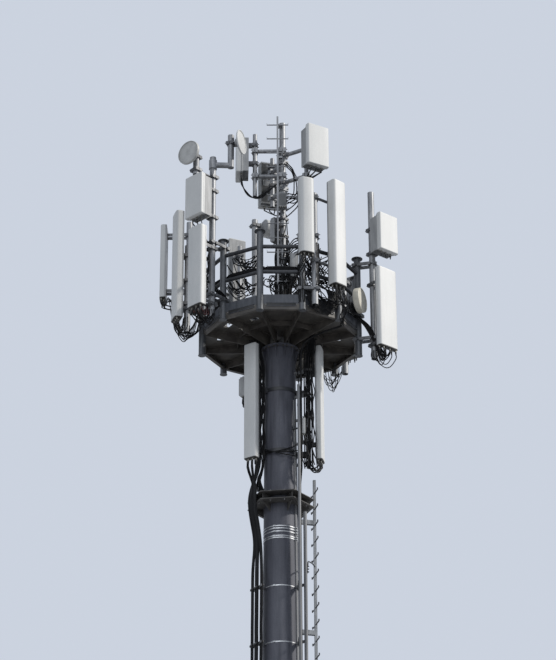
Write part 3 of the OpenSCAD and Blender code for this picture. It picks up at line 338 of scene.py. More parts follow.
collar_mid, collar_half = 17.68, 0.075
collar_bolts = [(spot(38 + 30.0 * k, 0.47) + Vector((0, 0, collar_mid + way * collar_half)), (0, 0, way), 0.9)
                for way in (1, -1) for k in range(12)]
scatter("collar_bolts", collar_bolts, bolt, bolt_zinc, 5)

buckle_turn = -22
shape = bmesh.new()
for z in [1.1 + i for i in range(16)] + [17.18, 17.135, 17.08, 17.0, 16.965]:
    buckle = facing(spot(buckle_turn, pole_r(z) + 0.003), buckle_turn, z)
    for y, wide, tall in ((-0.004, 0.045, 0.026), (-0.009, 0.02, 0.02)):
        bmesh.ops.create_cube(shape, size=1.0, matrix=buckle @ shift(0, y, 0)
                              @ Matrix.Diagonal((wide, 0.008, tall, 1.0)))
settle("strap_buckles", shape, [strap_steel], "galvanised_steel")

# Climbing ladder: one square rail with rungs through it, hot-dip galvanised and dulled by weather.
# The rail is bolted to its brackets, two bolts each.
rung_zinc = coat("rung_zinc", [(30, 31, 34), (48, 50, 54), (75, 78, 83)],
                 metal=0.4, cloud=(6, 6, 6), speck=60.0, grime=0.3)
dress(zinc_coat, "climbing_ladder", "ladder_brackets")
dress(rung_zinc, "climbing_rungs")
ladder_turn, rail_face = 104, 0.5745
ladder_bolts = []
for i in range(9):
    for side in (-1, 1):
        place = facing(spot(ladder_turn, rail_face), ladder_turn, 1.4 + 2 * i) @ Vector((side * 0.016, 0, 0))
        ladder_bolts.append((place + Vector((0, 0, 0.02 * side)), spot(ladder_turn, -1), 0.55))
scatter("ladder_bolts", ladder_bolts, bolt, bolt_zinc, 7)

# Deck: welded frame of twelve tapered beams under plates of raised-pattern steel, nearly black below.
# The toe boards are blue-grey and streaked by rain; the plates carry their rolled pattern.
deck_paint = coat("deck_paint", [(42, 38, 34), (68, 61, 54), (108, 97, 84)], cloud=(2.5, 2.5, 2.5))
rim_paint = coat("rim_paint", [(45, 50, 61), (66, 72, 85), (93, 99, 113)], cloud=(5, 5, 1.2), grime=0.45)
rail_paint = coat("rail_paint", [(20, 22, 26), (34, 36, 42), (58, 62, 70)],
                  rough=(0.35, 0.5), cloud=(4, 4, 4), grime=0.3)
dress(deck_paint, "deck_beams", "inner_ring", "deck_rim")
dress(rim_paint, "toe_boards")

plate_steel = coat("plate_steel", [(33, 30, 27), (53, 48, 42), (80, 72, 62)], cloud=(3, 3, 3))
tree = plate_steel.node_tree
tears = add(tree, "ShaderNodeTexVoronoi", {
    "Vector": tree.nodes["Texture Coordinate"].outputs["Object"], "Scale": 34.0, "Randomness": 0.15})
raised = add(tree, "ShaderNodeMapRange", {
    "Value": tears, "From Min": 0.18, "From Max": 0.30, "To Min": 1.0, "To Max": 0.0})
rolled = add(tree, "ShaderNodeBump", {
    "Height": raised, "Normal": tree.nodes["Bump"], "Distance": 0.003, "Strength": 0.8})
feed(tree.nodes["Principled BSDF"], {"Normal": rolled})
dress(plate_steel, "deck_floor")

post_turns = [-164 + 30 * i for i in range(12)]
deck_bolts = []
for turn in post_turns:
    for side in (-1, 1):
        for reach in (0.79, 1.30):
            place = facing(spot(turn, reach), turn, deck - 0.042) @ Vector((side * 0.022, 0, 0))
            deck_bolts.append((place, (0, 0, -1), 0.7))
        for reach in (0.31, 0.335):
            deck_bolts.append((spot(turn + 6 * side, reach) + Vector((0, 0, deck - 0.29)), (0, 0, -1), 0.8))
scatter("deck_bolts", deck_bolts, bolt, deck_paint, 11)

# Guard posts, caps and rails: tube of 120 mm with welded cap discs, the rails coped and welded between them.
# Posts are dull galvanised tube gone dark; the rails are painted almost black.
post_zinc = coat("post_zinc", [(70, 74, 82), (105, 110, 118), (160, 165, 175)],
                 metal=0.35, cloud=(5, 5, 1.1), speck=45.0, grime=0.4)
dress(post_zinc, "guard_posts", "post_caps")
dress(rail_paint, "top_rail", "middle_rail")

# Central mast, its ladder and the pipes on its arms: galvanised tube held by bolted half clamps.
# Every clamp is drawn together by two threaded rods, with a washer and a nut at each end.
pipe_zinc = coat("pipe_zinc", [(200, 205, 215), (260, 265, 275), (340, 345, 355)],
                 metal=0.5, cloud=(5, 5, 1.0), speck=45.0, grime=0.35)
clamp_zinc = coat("clamp_zinc", [(75, 78, 84), (110, 113, 120), (170, 173, 180)],
                  metal=0.4, cloud=(9, 9, 4), speck=60.0, grime=0.3)
dress(pipe_zinc, "central_mast", "mast_ladder", "mast_rungs", "mast_arms", "mast_pipes",
      "left_pipes", "right_pipes", "rear_pipes", "dish_boom")
dress(clamp_zinc, "pipe_clamps", "antenna_brackets", "feeder_clips")

mast_d, pipe_d, thin_d, post_d, slim_d = 0.114, 0.114, 0.08, 0.12, 0.06
mast = Vector((0.06, 0.0, 0.0))
side_pipe, front_pipe, back_pipe = (Vector(p) for p in ((-0.45, 0, 0), (0.5, -0.26, 0), (-0.13, 0.33, 0)))
side_arms, front_arms, back_arms = (3.346, 3.885), (3.20, 3.78), (3.06, 3.62)
post_reach = 1.43
tall_post = spot(16, post_reach)
corner_pipe = tall_post + Vector((0.216, 0, 0))
rail_pipe = spot(-149, 1.456)
slim_pipes = spot(-58, 0.5), spot(84, 0.5)

# Rain collar where the mast passes the floor: a steel disc with a turned-up neck, over the gap in the plates.
# Eight cap screws hold it down.
shape = bmesh.new()
neck = mast_d / 2 + 0.0005
lathe(shape, shift(mast.x, mast.y, deck - 0.0005),
      [(neck, 0.0), (0.212, 0.0), (0.215, 0.002), (0.215, 0.005), (0.212, 0.007), (neck + 0.016, 0.008),
       (neck + 0.006, 0.014), (neck + 0.004, 0.052), (neck, 0.055), (neck, 0.0)], 48, 0)
bmesh.ops.remove_doubles(shape, verts=shape.verts, dist=1e-5)
for k in range(8):
    lathe(shape, Matrix.Translation(mast + spot(45 * k + 10, 0.195) + Vector((0, 0, deck + 0.0055))), [
        (0, 0), (0.011, 0), (0.011, 0.002), (0.008, 0.003), (0.008, 0.009), (0.006, 0.011), (0, 0.011)], 6, 1)
settle("mast_rain_collar", shape, [deck_paint, bolt_zinc], "deck_steel")


def out_spot(turn):
    """The middle of a pipe that stands outside the deck, by its bearing."""
    return spot(turn, 1.71)


def clamp_nuts(place, depth, wide):
    """Nuts at the four rod ends of a pair of half clamps."""
    ends = []
    for side in (-1, 1):
        for way in (-1, 1):
            ends.append((place @ Vector((side * (wide / 2 - 0.012), way * (depth / 2 + 0.014), 0)),
                         place.to_3x3() @ Vector((0, way, 0)), 0.78))
    return ends


def bearing(a, b):
    """Bearing of one upright from another."""
    return degrees(atan2(b[0] - a[0], a[1] - b[1]))


nuts = []
for pipe, heights in ((side_pipe, side_arms), (front_pipe, front_arms), (back_pipe, back_arms)):
    for h in heights:
        for end, d in ((mast, mast_d), (pipe, thin_d)):
            nuts += clamp_nuts(facing(end, bearing(mast, pipe), deck + h), d, d + 0.054)
twins = [(-44, 0.215), (-44, 1.25), (-74, 0.33), (-74, 0.9), (-104, 0.757), (-104, 1.26),
         (76, -0.23), (76, 1.26), (-164, 0.25), (-164, 1.25), (136, 0.23), (136, 1.25)]
twin_places = [(facing(spot(turn, post_reach), turn, deck + h), 0.28) for turn, h in twins]
twin_places += [(facing(tall_post, 90, deck + h), 0.216) for h in (0.25, 1.3)]
for place, reach in twin_places:
    for side in (-1, 1):
        for y, way in ((0.08, 1), (-reach - 0.077, -1)):
            nuts.append((place @ Vector((side * 0.073, y, 0)), place.to_3x3() @ Vector((0, way, 0)), 0.85))

# Panel antennas: a fibreglass cover with round front edges over an aluminium back, closed by two end caps.
# Threaded plugs stand in a row under the lower cap, each with its hexagon and a rubber boot over the cable.
cover_white = coat("cover_white", [(540, 545, 540), (570, 575, 570), (610, 610, 600)],
                   rough=(0.45, 0.58), cloud=(1.2, 1.2, 0.5), speck=140.0, relief=0.03, grime=0.05)
back_metal = coat("back_metal", [(200, 205, 210), (260, 265, 270), (330, 335, 340)],
                  metal=0.3, cloud=(5, 5, 1), speck=80.0, grime=0.2)
# The near-black cap colour is painted shade: it darkens the lower end caps, whose undersides face down, and
# the thin step under each top cap.
cap_painted_shade = coat("cap_painted_shade", [(22, 21, 20), (38, 36, 34), (60, 57, 53)], cloud=(8, 8, 8), grime=0.3)
plug_metal = coat("plug_metal", [(200, 190, 170), (280, 270, 240), (360, 350, 320)],
                  metal=0.7, cloud=(30, 30, 30))
rubber = coat("rubber", [(10, 10, 11), (17, 17, 18), (27, 27, 28)], rough=(0.5, 0.65), cloud=(9, 9, 9))
antenna_skins = [cover_white, back_metal, cap_painted_shade, plug_metal, rubber]
in_cover, in_metal, in_cap_shade, in_plug, in_boot = range(5)


def loft(shape, place, rings, mats):
    """Skins a row of outlines; mats gives the material of each band, or a list with one for each side."""
    made = [[shape.verts.new(place @ Vector(p)) for p in ring] for ring in rings]
    for band, (low, high) in enumerate(zip(made, made[1:])):
        for k in range(len(low)):
            j = (k + 1) % len(low)
            mat = mats[band + 1]
            face = shape.faces.new((low[k], low[j], high[j], high[k]))
            face.material_index = mat if isinstance(mat, int) else mat[k]
    shape.faces.new(list(reversed(made[0]))).material_index = mats[0]
    shape.faces.new(made[-1]).material_index = mats[-1]


def cover_outline(w, t, r, z, inset, crown=0.004):
    """Outline with its back at y = 0, a groove along each side, round front corners and a crowned front."""
    half, turn = w / 2 - inset, max(r - inset, 0.004)
    right = [(half, -inset), (half, -0.026), (half - 0.003, -0.028), (half - 0.003, -0.032), (half, -0.034)]
    for k in range(7):
        a = radians(15 * k)
        right.append((half - turn + turn * cos(a), -t + inset + crown + turn - turn * sin(a)))
    flat = half - turn
    right.append((flat * 0.5, -t + inset + crown * 0.25))
    left = [(-x, y) for x, y in reversed(right)]
    return [(x, y, z) for x, y in right + [(0.0, -t + inset)] + left]


def plug(shape, place, deep, r=0.015):
    """Plug under a box: collar, hexagon, barrel and the boot over its cable."""
    collar, low = r * 1.35, -deep
    for profile, sides, skin in (
            ([(0, 0.005), (collar, 0.005), (collar, -0.004), (r * 1.2, -0.005), (0, -0.005)], 14, in_plug),
            ([(0, -0.005), (r * 1.1, -0.005), (r * 1.12, -0.018), (0, -0.018)], 6, in_plug),
            ([(0, -0.018), (r * 0.88, -0.018), (r * 0.88, low), (r * 0.8, low - 0.002), (0, low - 0.002)],
             12, in_plug),
            ([(0, 0.010 - deep), (r * 1.02, 0.009 - deep), (r * 1.02, -0.012 - deep),
              (r * 0.72, -0.024 - deep), (r * 0.64, -0.05 - deep), (0, -0.05 - deep)], 12, in_boot)):
        lathe(shape, place, profile, sides, skin)


def panel(shape, place, w, t, h, r, plugs):
    """Panel antenna standing on its lower cap, with its back at the place."""
    cap = 0.014
    steps = [
        (0.0, 0.009), (0.003, 0.005), (cap - 0.002, 0.004), (cap, 0.004), (cap, 0.0015), (cap + 0.003, 0.0),
        (cap + 0.010, 0.0)]
    steps += [(h - z, inset) for z, inset in reversed(steps)]
    rings = [cover_outline(w, t, r, z, inset) for z, inset in steps]
    sides = len(rings[0])
    along = [in_metal if k in (0, sides - 2, sides - 1) else in_cover for k in range(sides)]
    # The lower cap and the step under the top cap take the painted shade colour; the top cap keeps the white
    # cover.
    loft(shape, place, rings, [in_cap_shade] * 5 + [along] * 5 + [in_cap_shade] + [in_cover] * 4)
    for i in range(plugs):
        x = (i - (plugs - 1) / 2) * (w - 0.08) / (plugs - 1)
        plug(shape, place @ shift(x, -t * (0.35 if i % 2 == 0 else 0.65), 0), 0.045)


# A row: pipe, bearing, foot over the deck, height, width, depth, gap to the pipe, clamps, corner radius.
left_rows = [
    (out_spot(-44), -45, -0.140, 1.575, 0.345, 0.140, 0.240, (0.170, 1.275), 0.045),
    (out_spot(-74), -72, 0.100, 2.160, 0.300, 0.150, 0.060, (0.330, 1.300), 0.045),
    (out_spot(-104), -92, 0.980, 1.520, 0.330, 0.120, 0.350, (0.180, 1.340), 0.045)]
right_rows = [
    (tall_post, 21, 0.842, 1.512, 0.270, 0.160, 0.090, (0.150, 1.260), 0.075),
    (out_spot(76), 40, -0.546, 1.560, 0.430, 0.115, 0.230, (0.180, 1.380), 0.045)]
rear_rows = [
    (rail_pipe, -155, 1.070, 1.700, 0.330, 0.130, 0.060, (0.230, 1.300), 0.045),
    (out_spot(136), 142, 0.300, 1.660, 0.300, 0.150, 0.100, (0.150, 1.480), 0.045)]
low_rows = [
    (slim_pipes[0], -34, -2.520, 2.200, 0.255, 0.120, 0.060, (1.760, 0.400), 0.035),
    (slim_pipes[1], 78, -2.450, 2.200, 0.255, 0.120, 0.110, (1.690, 0.330), 0.035)]


def behind(row):
    """Diameter of what stands behind an antenna."""
    if row in low_rows:
        return slim_d
    return post_d if row[0] is tall_post else thin_d if row[0] is rail_pipe else pipe_d


def row_frame(row, up=0.0):
    """Frame of an antenna's pipe, turned as the antenna is, at a height over its foot."""
    return facing(row[0], row[1], deck + row[2] + up)


def row_place(row, d):
    """Frame of an antenna's foot, by the diameter of its pipe."""
    return row_frame(row) @ shift(0, -d / 2 - row[6], 0)


def panel_place(row):
    return row_place(row, behind(row))


corner_panel = facing(Vector((0.953, -1.2, 0)), 42.6, deck + 0.36)
for name, rows, plugs in (("left_panel_antennas", left_rows, 6), ("right_panel_antennas", right_rows, 6),
                          ("rear_panel_antennas", rear_rows, 4), ("low_panel_antennas", low_rows, 5)):
    shape = bmesh.new()
    for row in rows:
        panel(shape, panel_place(row), row[4], row[5], row[3], row[8], plugs)
        for z in row[7]:
            nuts += clamp_nuts(row_frame(row, z), behind(row), behind(row) + 0.044)
    if rows is right_rows:
        panel(shape, corner_panel, 0.30, 0.19, 2.1, 0.05, 6)
        for z in (0.8, 2.08):
            nuts += clamp_nuts(facing(corner_pipe, 90, deck + z), pipe_d, pipe_d + 0.044)
    settle(name, shape, antenna_skins, "antenna_cover", name.replace("panel_antennas", "panels"))

# Box antennas: a plastic cover in front of a cast tray, with cooling fins and a mounting block behind.
# The fins are set by a line of plates in a node tree; a bar crosses them near each end.
cast_grey = coat("cast_grey", [(240, 245, 250), (300, 305, 310), (370, 375, 380)],
                 rough=(0.5, 0.6), cloud=(5, 5, 1), speck=90.0, grime=0.25)


def fin_tree(material):
    """A row of plates along X, by number, pitch and size."""
    tree, keys, start = open_tree(
        "fins", (("Number", "Int"), ("Pitch", "Float"), ("Plate size", "Vector")), "Fins")
    step = add(tree, "ShaderNodeCombineXYZ", {"X": start["Pitch"]})
    row = add(tree, "GeometryNodeMeshLine", {"Count": start["Number"], "Offset": step})
    plate = add(tree, "GeometryNodeMeshCube", {"Size": start["Plate size"]})
    put = add(tree, "GeometryNodeInstanceOnPoints", {"Points": row, "Instance": plate})
    close_tree(tree, put, material)
    return tree, keys


fins_of = fin_tree(cast_grey)


def fins(shape, place, number, span, size, mat):
    """Adds a row of fins, its middle at the place, to a shape."""
    maker = stand_in("fins", bpy.data.meshes.new("fins"))
    pitch = (span - size[0]) / (number - 1)
    baked = grow(maker, *fins_of, (number, pitch, size))
    baked.transform(place @ shift(-(number - 1) * pitch / 2, 0, 0))
    first = len(shape.faces)
    shape.from_mesh(baked)
    shape.faces.ensure_lookup_table()
    for face in shape.faces[first:]:
        face.material_index = mat
    bpy.data.objects.remove(maker)


def block(shape, place, size, round_off, mat):
    """Cast or folded block with its edges broken."""
    made = bmesh.ops.create_cube(shape, size=1.0, matrix=place @ Matrix.Diagonal((*size, 1.0)))
    edges = {e for v in made["verts"] for e in v.link_edges}
    for face in {f for v in made["verts"] for f in v.link_faces}:
        face.material_index = mat
    bmesh.ops.bevel(shape, geom=list(edges), offset=round_off, segments=2, profile=0.5, affect="EDGES")


def curve_points(points, steps):
    """Points of a smooth line through the given ones."""
    ends = [points[0] * 2 - points[1], *points, points[-1] * 2 - points[-2]]
    made = []
    for a, b, c, d in zip(ends, ends[1:], ends[2:], ends[3:]):
        for k in range(steps):
            s = k / steps
            made.append(b + (c - a) * s / 2 + (a * 2 - b * 5 + c * 4 - d) * s * s / 2
                        + (b * 3 - a - c * 3 + d) * s ** 3 / 2)
    return made + [points[-1]]


def tube(shape, points, r, sides, mat):
    """Round bar or cable along a line of points, closed at both ends."""
    way = (points[1] - points[0]).normalized()
    side = way.orthogonal().normalized()
    rings = []
    for i, p in enumerate(points):
        ahead = (points[min(i + 1, len(points) - 1)] - points[max(i - 1, 0)]).normalized()
        side = (side - ahead * side.dot(ahead)).normalized()
        across = ahead.cross(side)
        rings.append([p + side * (r * cos(a)) + across * (r * sin(a))
                      for a in (k * tau / sides for k in range(sides))])
    loft(shape, Matrix.Identity(4), rings, [mat] * (len(rings) + 1))


def box_antenna(shape, place, w, t, h):
    """Box antenna standing on its lower edge, with its back at the place."""
    cover, low = 0.09, 0.055
    steps = [(0.0, 0.012), (0.004, 0.005), (0.012, 0.0), (0.022, 0.0)]
    steps += [(h - z, inset) for z, inset in reversed(steps)]
    front, deep = cover - t, t - cover - 0.035
    outlines = [cover_outline(w, cover, 0.022, z, inset, 0.003) for z, inset in steps]
    loft(shape, place @ shift(0, front, 0), outlines, [in_cover] * 9)
    block(shape, place @ shift(0, front + 0.02, h / 2), (w - 0.03, 0.042, h - 0.03), 0.006, in_metal)
    fins(shape, place @ shift(0, -deep / 2, h / 2), 22, w - 0.046, (0.0035, deep, h - 0.06), in_metal)
    block(shape, place @ shift(0, front / 2, h / 2), (w - 0.12, t - cover, 0.12), 0.008, in_metal)
    for z in (low, h - low):
        block(shape, place @ shift(0, -deep / 2, z), (w - 0.05, deep * 0.92, 0.022), 0.003, in_metal)
    for i in (-1, 0, 1):
        plug(shape, place @ shift(i * w / 4, front + 0.018, 0.012), 0.047)


left_box = (out_spot(-44), -43, 1.615, 0.830, 0.410, 0.287, 0.150, (0.150, 0.690))
right_box = (out_spot(76), 39, 1.332, 0.750, 0.425, 0.300, 0.120, (0.130, 0.620))
mast_boxes = [
    (side_pipe, -88, 3.330, 0.770, 0.430, 0.240, 0.080, side_arms),
    (front_pipe, 30, 3.208, 0.842, 0.440, 0.300, 0.110, front_arms),
    (back_pipe, -165, 2.990, 0.960, 0.400, 0.190, 0.090, back_arms)]
box_skins = [cover_white, cast_grey, cap_painted_shade, plug_metal, rubber]
for name, rows, d in (("left_box_antenna", [left_box], pipe_d), ("right_box_antenna", [right_box], pipe_d),
                      ("mast_box_antennas", mast_boxes, thin_d)):
    shape = bmesh.new()
    for row in rows:
        box_antenna(shape, row_place(row, d), row[4], row[5], row[3])
        heights = row[7]
        if rows is mast_boxes:
            heights = ((heights[0] + heights[1]) / 2 - row[2], heights[1] + 0.125 - row[2])
        for z in heights:
            nuts += clamp_nuts(row_frame(row, z), d, d + 0.044)
    settle(name + "_shown", shape, box_skins, "antenna_cover", name)

# Link dishes: a spun bowl with a rolled rim behind a crowned cover sheet, and a round radio drum at the back.
# Screws hold the cover all round the rim.
dish_cream = coat("dish_cream", [(500, 475, 400), (580, 550, 470), (640, 610, 530)],
                  rough=(0.45, 0.6), cloud=(3, 3, 3), speck=140.0, relief=0.03, grime=0.15)
dish_grey = coat("dish_grey", [(360, 360, 350), (430, 430, 420), (490, 490, 480)],
                 cloud=(3, 3, 3), speck=120.0, grime=0.15)
boom_head = out_spot(-44) + Vector((0.32, 0.02, 0))
left_stub, right_stub = Vector((-1.478, -1.5, 0)), Vector((1.205, -0.64, 0))
in_cream, in_grey, in_cast, in_white = range(4)
# A dish: pipe and its diameter, bearing, height, the dish's diameter and depth, the drum's, the cover's skin.
dishes = [
    (boom_head, pipe_d, 70, 3.310, 0.45, 0.030, 0.15, 0.03, in_white),
    (left_stub, pipe_d, -37, 2.855, 0.45, 0.055, 0.15, 0.03, in_grey),
    (right_stub, slim_d, 68, 0.370, 0.45, 0.110, 0.20, 0.04, in_cream),
    (out_spot(-164), pipe_d, 118, 3.230, 0.35, 0.180, 0.16, 0.04, in_grey)]
rim_screws = []
shape = bmesh.new()
for pipe, d, turn, h, dish_d, deep, drum_d, drum_l, skin in dishes:
    r, drum = dish_d / 2, drum_d / 2
    back = d / 2 + 0.038
    front = facing(pipe, turn, deck + h) @ shift(0, -back - deep - 0.06 - drum_l, 0)
    outward = front @ Matrix.Rotation(radians(90), 4, "X")
    rim, end = r - 0.014, -deep - 0.06 - drum_l
    bowl = [
        (rim + (drum - r + 0.014) * s, -deep - 0.001 - 0.059 * s ** 0.8) for s in (0.2, 0.4, 0.6, 0.8, 1.0)]
    for profile, sides, mat in (
            ([(0, -0.003), (r * 0.35, -0.0038), (r * 0.7, -0.007), (r - 0.024, -0.012), (r - 0.020, -0.013)],
             64, skin),
            ([(r - 0.020, -0.013), (r - 0.017, -0.004), (r - 0.008, -0.0005), (r - 0.002, -0.004),
              (r, -0.010), (r, -deep + 0.004), (r - 0.003, -deep), (rim, -deep - 0.001)], 64, skin),
            ([(rim, -deep - 0.001), *bowl], 64, in_cast),
            ([(drum, -deep - 0.060), (drum, end + 0.006), (drum - 0.006, end), (0, end)], 40, in_cast)):
        lathe(shape, outward, profile, sides, mat)
    for k in range(16):
        a = k * tau / 16
        rim_screws.append((outward @ Vector(((r - 0.021) * cos(a), (r - 0.021) * sin(a), -0.0135)),
                           outward.to_3x3() @ Vector((0, 0, 1)), 0.24))
    nuts += clamp_nuts(facing(pipe, turn, deck + h), d, d + 0.044)
bmesh.ops.remove_doubles(shape, verts=shape.verts, dist=1e-5)
settle(
    "link_dishes_shown", shape, [dish_cream, dish_grey, cast_grey, cover_white], "dish_cover", "link_dishes")
scatter("dish_screws", rim_screws, bolt, bolt_zinc, 13)

# Radio units on the mast and beside the pole: cast boxes with plugs underneath and fins on the outer face.
# The lowest on the right has a plain cover there. Each has a bow handle on its top.
shape = bmesh.new()
in_front = 5


def radio(place, w, t, h, finned=True):
    """Radio unit standing on its lower face, with its back at the place."""
    block(shape, place @ shift(0, -(t - 0.022) / 2, h / 2), (w, t - 0.022, h), 0.008, 0)
    if finned:
        front = place @ shift(0, -t + 0.014, h / 2)
        fins(shape, front, max(5, round(w / 0.019)), w - 0.02, (0.003, 0.028, h - 0.05), 0)
    else:
        front = place @ shift(0, -t + 0.012, h / 2)
        block(shape, front, (w - 0.012, 0.024, h - 0.014), 0.006, in_front)
    for i in (-1, 0, 1):
        plug(shape, place @ shift(i * w / 4, -t / 2, 0.0), 0.03, 0.010)
    handle = [place @ p for p in curve_points([Vector((x, -t * 0.5, h + z)) for x, z in (
        (-w * 0.3, -0.005), (-w * 0.27, 0.022), (w * 0.27, 0.022), (w * 0.3, -0.005))], 3)]
    tube(shape, handle, 0.005, 6, 0)


mast_radios = [(0, 2.6, 0.3, 0.15, 0.06, 0.1), (-135, 2.0, 0.5, 0.205, 0.12, 0.06),
               (180, 0.52, 0.48, 0.32, 0.15, 0.06), (95, 1.18, 0.48, 0.32, 0.15, 0.06)]
for turn, foot, h, w, t, gap in mast_radios:
    radio(facing(mast, turn, deck + foot) @ shift(0, -mast_d / 2 - gap, 0), w, t, h)
    for z in (0.07, h - 0.07):
        nuts += clamp_nuts(facing(mast, turn, deck + foot + z), mast_d, mast_d + 0.044)
small_unit = facing(slim_pipes[0], -115, deck - 1.23)
radio(small_unit @ shift(0, -0.17, 0), 0.09, 0.15, 0.37)
radio(shift(0.385, -0.29, deck - 2.03), 0.106, 0.06, 0.315, finned=False)
settle("radio_units_shown", shape, [cast_grey, cast_grey, cap_painted_shade, plug_metal, rubber, cover_white],
       "radio_case", "radio_units")
scatter("clamp_nuts", nuts, bolt, bolt_zinc, 17)

# Feeder cables: black-sheathed coaxial cable in bundles on the left, grey conduits on the right.
# The cables are held to cross bars on the pole by small black blocks; those on the left have a bolt each.
cable_black = coat("cable_black", [(5, 5, 6), (9, 9, 10), (16, 16, 17)],
                   rough=(0.5, 0.65), cloud=(6, 6, 0.6), grime=0.12, shine=0.13)
duct_grey = coat("duct_grey", [(125, 128, 134), (165, 168, 175), (210, 213, 220)],
                 cloud=(4, 4, 0.4), grime=0.3)
dress(cable_black, "right_feeders", "jumper_cables")
dress(duct_grey, "right_conduits")
hangers = bmesh.new()
row_turn = -67
# Along the row, out of the pole's face, width of the block.
bundle_blocks = ((-0.119, 0.186, 0.094), (-0.034, 0.160, 0.060), (0.034, 0.160, 0.060), (0.119, 0.084, 0.094))
for level in range(16):
    z = 1.1 + level
    for u, out, wide in bundle_blocks:
        held = facing((0, 0, 0), row_turn, z) @ shift(u, -pole_r(z) - out, 0)
        block(hangers, held, (wide, 0.022, 0.036), 0.004, 0)
        lathe(hangers, held @ shift(0, -0.011, 0) @ Matrix.Rotation(radians(90), 4, "X"),
              [(0, 0), (0.008, 0), (0.008, 0.006), (0.004, 0.007), (0.004, 0.013), (0, 0.013)], 6, 1)
for z in (-0.76, -1.23, -1.68, -2.13):
    for i in range(5):
        held = shift(0.42 + 0.032 * i, -0.28, deck + z)
        block(hangers, held, (0.030, 0.022, 0.042), 0.004, 0)
settle("cable_hangers", hangers, [rubber, bolt_zinc], "cable_jacket")

# Stay of the ladder: a bent bar from its rail to the thicker conduit, dulled like the rungs.
# It ends in a flat that is held against the conduit by three bolts.
stay = bmesh.new()
reach = [Vector((0.577, 0.12, 16.59)), Vector((0.53, -0.05, 16.58)), Vector((0.47, -0.24, 16.54)),
         Vector((0.456, -0.305, 16.50)), Vector((0.4505, -0.3166, 16.43))]
tube(stay, curve_points(reach, 4), 0.011, 8, 0)
block(stay, shift(0.4476, -0.3166, 16.385), (0.008, 0.036, 0.16), 0.002, 0)
for z in (16.325, 16.375, 16.425):
    lathe(stay, shift(0.4510, -0.3166, z) @ Matrix.Rotation(radians(90), 4, "Y"),
          [(0, 0), (0.015, 0), (0.015, 0.012), (0.008, 0.013), (0.008, 0.024), (0, 0.024)], 6, 1)
settle("ladder_stay", stay, [rung_zinc, rubber], "galvanised_steel")

# Patch leads: thin black cables from the plugs to the radios, the mast and the holes of the floor.
# They hang in bows and are tied in bundles. Each is swept along its line by a node tree, with some wobble.


def sheath_tree(material):
    """Sweeps a round cable along each line of edges, by radius, wobble, seed and length of step."""
    tree, keys, start = open_tree("cable_sheath", [("Lines", "Geometry")] + [
        (label, "Float") for label in ("Radius", "Wobble", "Seed", "Step")], "Cables")
    line = add(tree, "GeometryNodeMeshToCurve", {"Mesh": start["Lines"]})
    bowed = add(tree, "GeometryNodeCurveSplineType", {"Curve": line}, spline_type="CATMULL_ROM")
    even = add(tree, "GeometryNodeResampleCurve", {"Curve": bowed, "Length": start["Step"]}, mode="LENGTH")
    here = add(tree, "GeometryNodeInputPosition")
    field = add(tree, "ShaderNodeTexNoise", {"Vector": here, "W": start["Seed"], "Scale": 3.5, "Detail": 1.0},
                noise_dimensions="4D")
    about_zero = add(tree, "ShaderNodeVectorMath", {0: field.outputs["Color"], 1: (0.5, 0.5, 0.5)},
                     operation="SUBTRACT")
    sized = add(tree, "ShaderNodeVectorMath", {0: about_zero, "Scale": start["Wobble"]}, operation="SCALE")
    moved = add(tree, "GeometryNodeSetPosition", {"Geometry": even, "Offset": sized})
    section = add(tree, "GeometryNodeCurvePrimitiveCircle", {"Resolution": 7, "Radius": start["Radius"]})
    sweep = add(tree, "GeometryNodeCurveToMesh", {
        "Curve": moved, "Profile Curve": section, "Fill Caps": True})
    close_tree(tree, add(tree, "GeometryNodeSetShadeSmooth", {"Geometry": sweep}), material)
    return tree, keys


def leads(name, runs, radius, sheath, wobble, seed, step=0.035, nodes=()):
    """Cables of one thickness along lists of points, baked into one piece."""
    points, edges = [], []
    for run in runs:
        edges += [(len(points) + k, len(points) + k + 1) for k in range(len(run) - 1)]
        points += [tuple(p) for p in run]
    mesh = bpy.data.meshes.new(name)
    mesh.from_pydata(points, edges, [])
    maker = stand_in(name + "_lines", mesh)
    tree, keys = sheath
    baked = grow(maker, tree, keys[1:], (radius, wobble, seed, step))
    shape = bmesh.new()
    shape.from_mesh(baked)
    bpy.data.objects.remove(maker)
    settle(name, shape, [baked.materials[0]], "cable_jacket", *nodes)


def at_deck(x, y, up):
    return Vector((x, y, deck + up))


def path(*points):
    """Line of points, those that aren't vectors given by x, y and height over the deck."""
    return [p if isinstance(p, Vector) else at_deck(*p) for p in points]


def along_bay(turn, s, out, up):
    """Point by one side of the deck: distance along it, distance outside its face, height."""
    return facing(spot(turn, rim_face + out), turn, deck + up) @ Vector((s, 0, 0))


def bay_path(turn, *points):
    """Line of points, those that aren't vectors given by their place at one side of the deck."""
    return [p if isinstance(p, Vector) else along_bay(turn, *p) for p in points]


def bow(a, b, sag, lean=0.0):
    """Line from a to b that hangs by sag below its chord and leans towards +X at its middle."""
    steps = 6
    return [a.lerp(b, k / steps) + Vector((lean, 0, -sag)) * (4 * k * (steps - k) / steps ** 2)
            for k in range(steps + 1)]


def plug_end(place, w, t, i):
    """Lower end of a panel antenna's plug, by the antenna's place, width and depth."""
    last = 5
    return place @ Vector(((i - last / 2) * (w - 0.08) / last, -t * (0.35 if i % 2 == 0 else 0.65), -0.075))


def row_plug(row, i):
    return plug_end(panel_place(row), row[4], row[5], i)


def box_plug(row, d, i):
    """Lower end of a box antenna's plug, by the diameter of its pipe."""
    return row_place(row, d) @ Vector((i * row[4] / 4, 0.108 - row[5], -0.07))


def beside(post, a, r):
    """The point of a tie round a post: bearing in radians, distance from the post's axis."""
    return post + Vector((r * cos(a), r * sin(a), 0))


rim_face = 1.381
left_bay, right_bay, far_bay = -29, 31, 61
chance = random.Random(8)
between = chance.uniform
black_sheath = sheath_tree(cable_black)

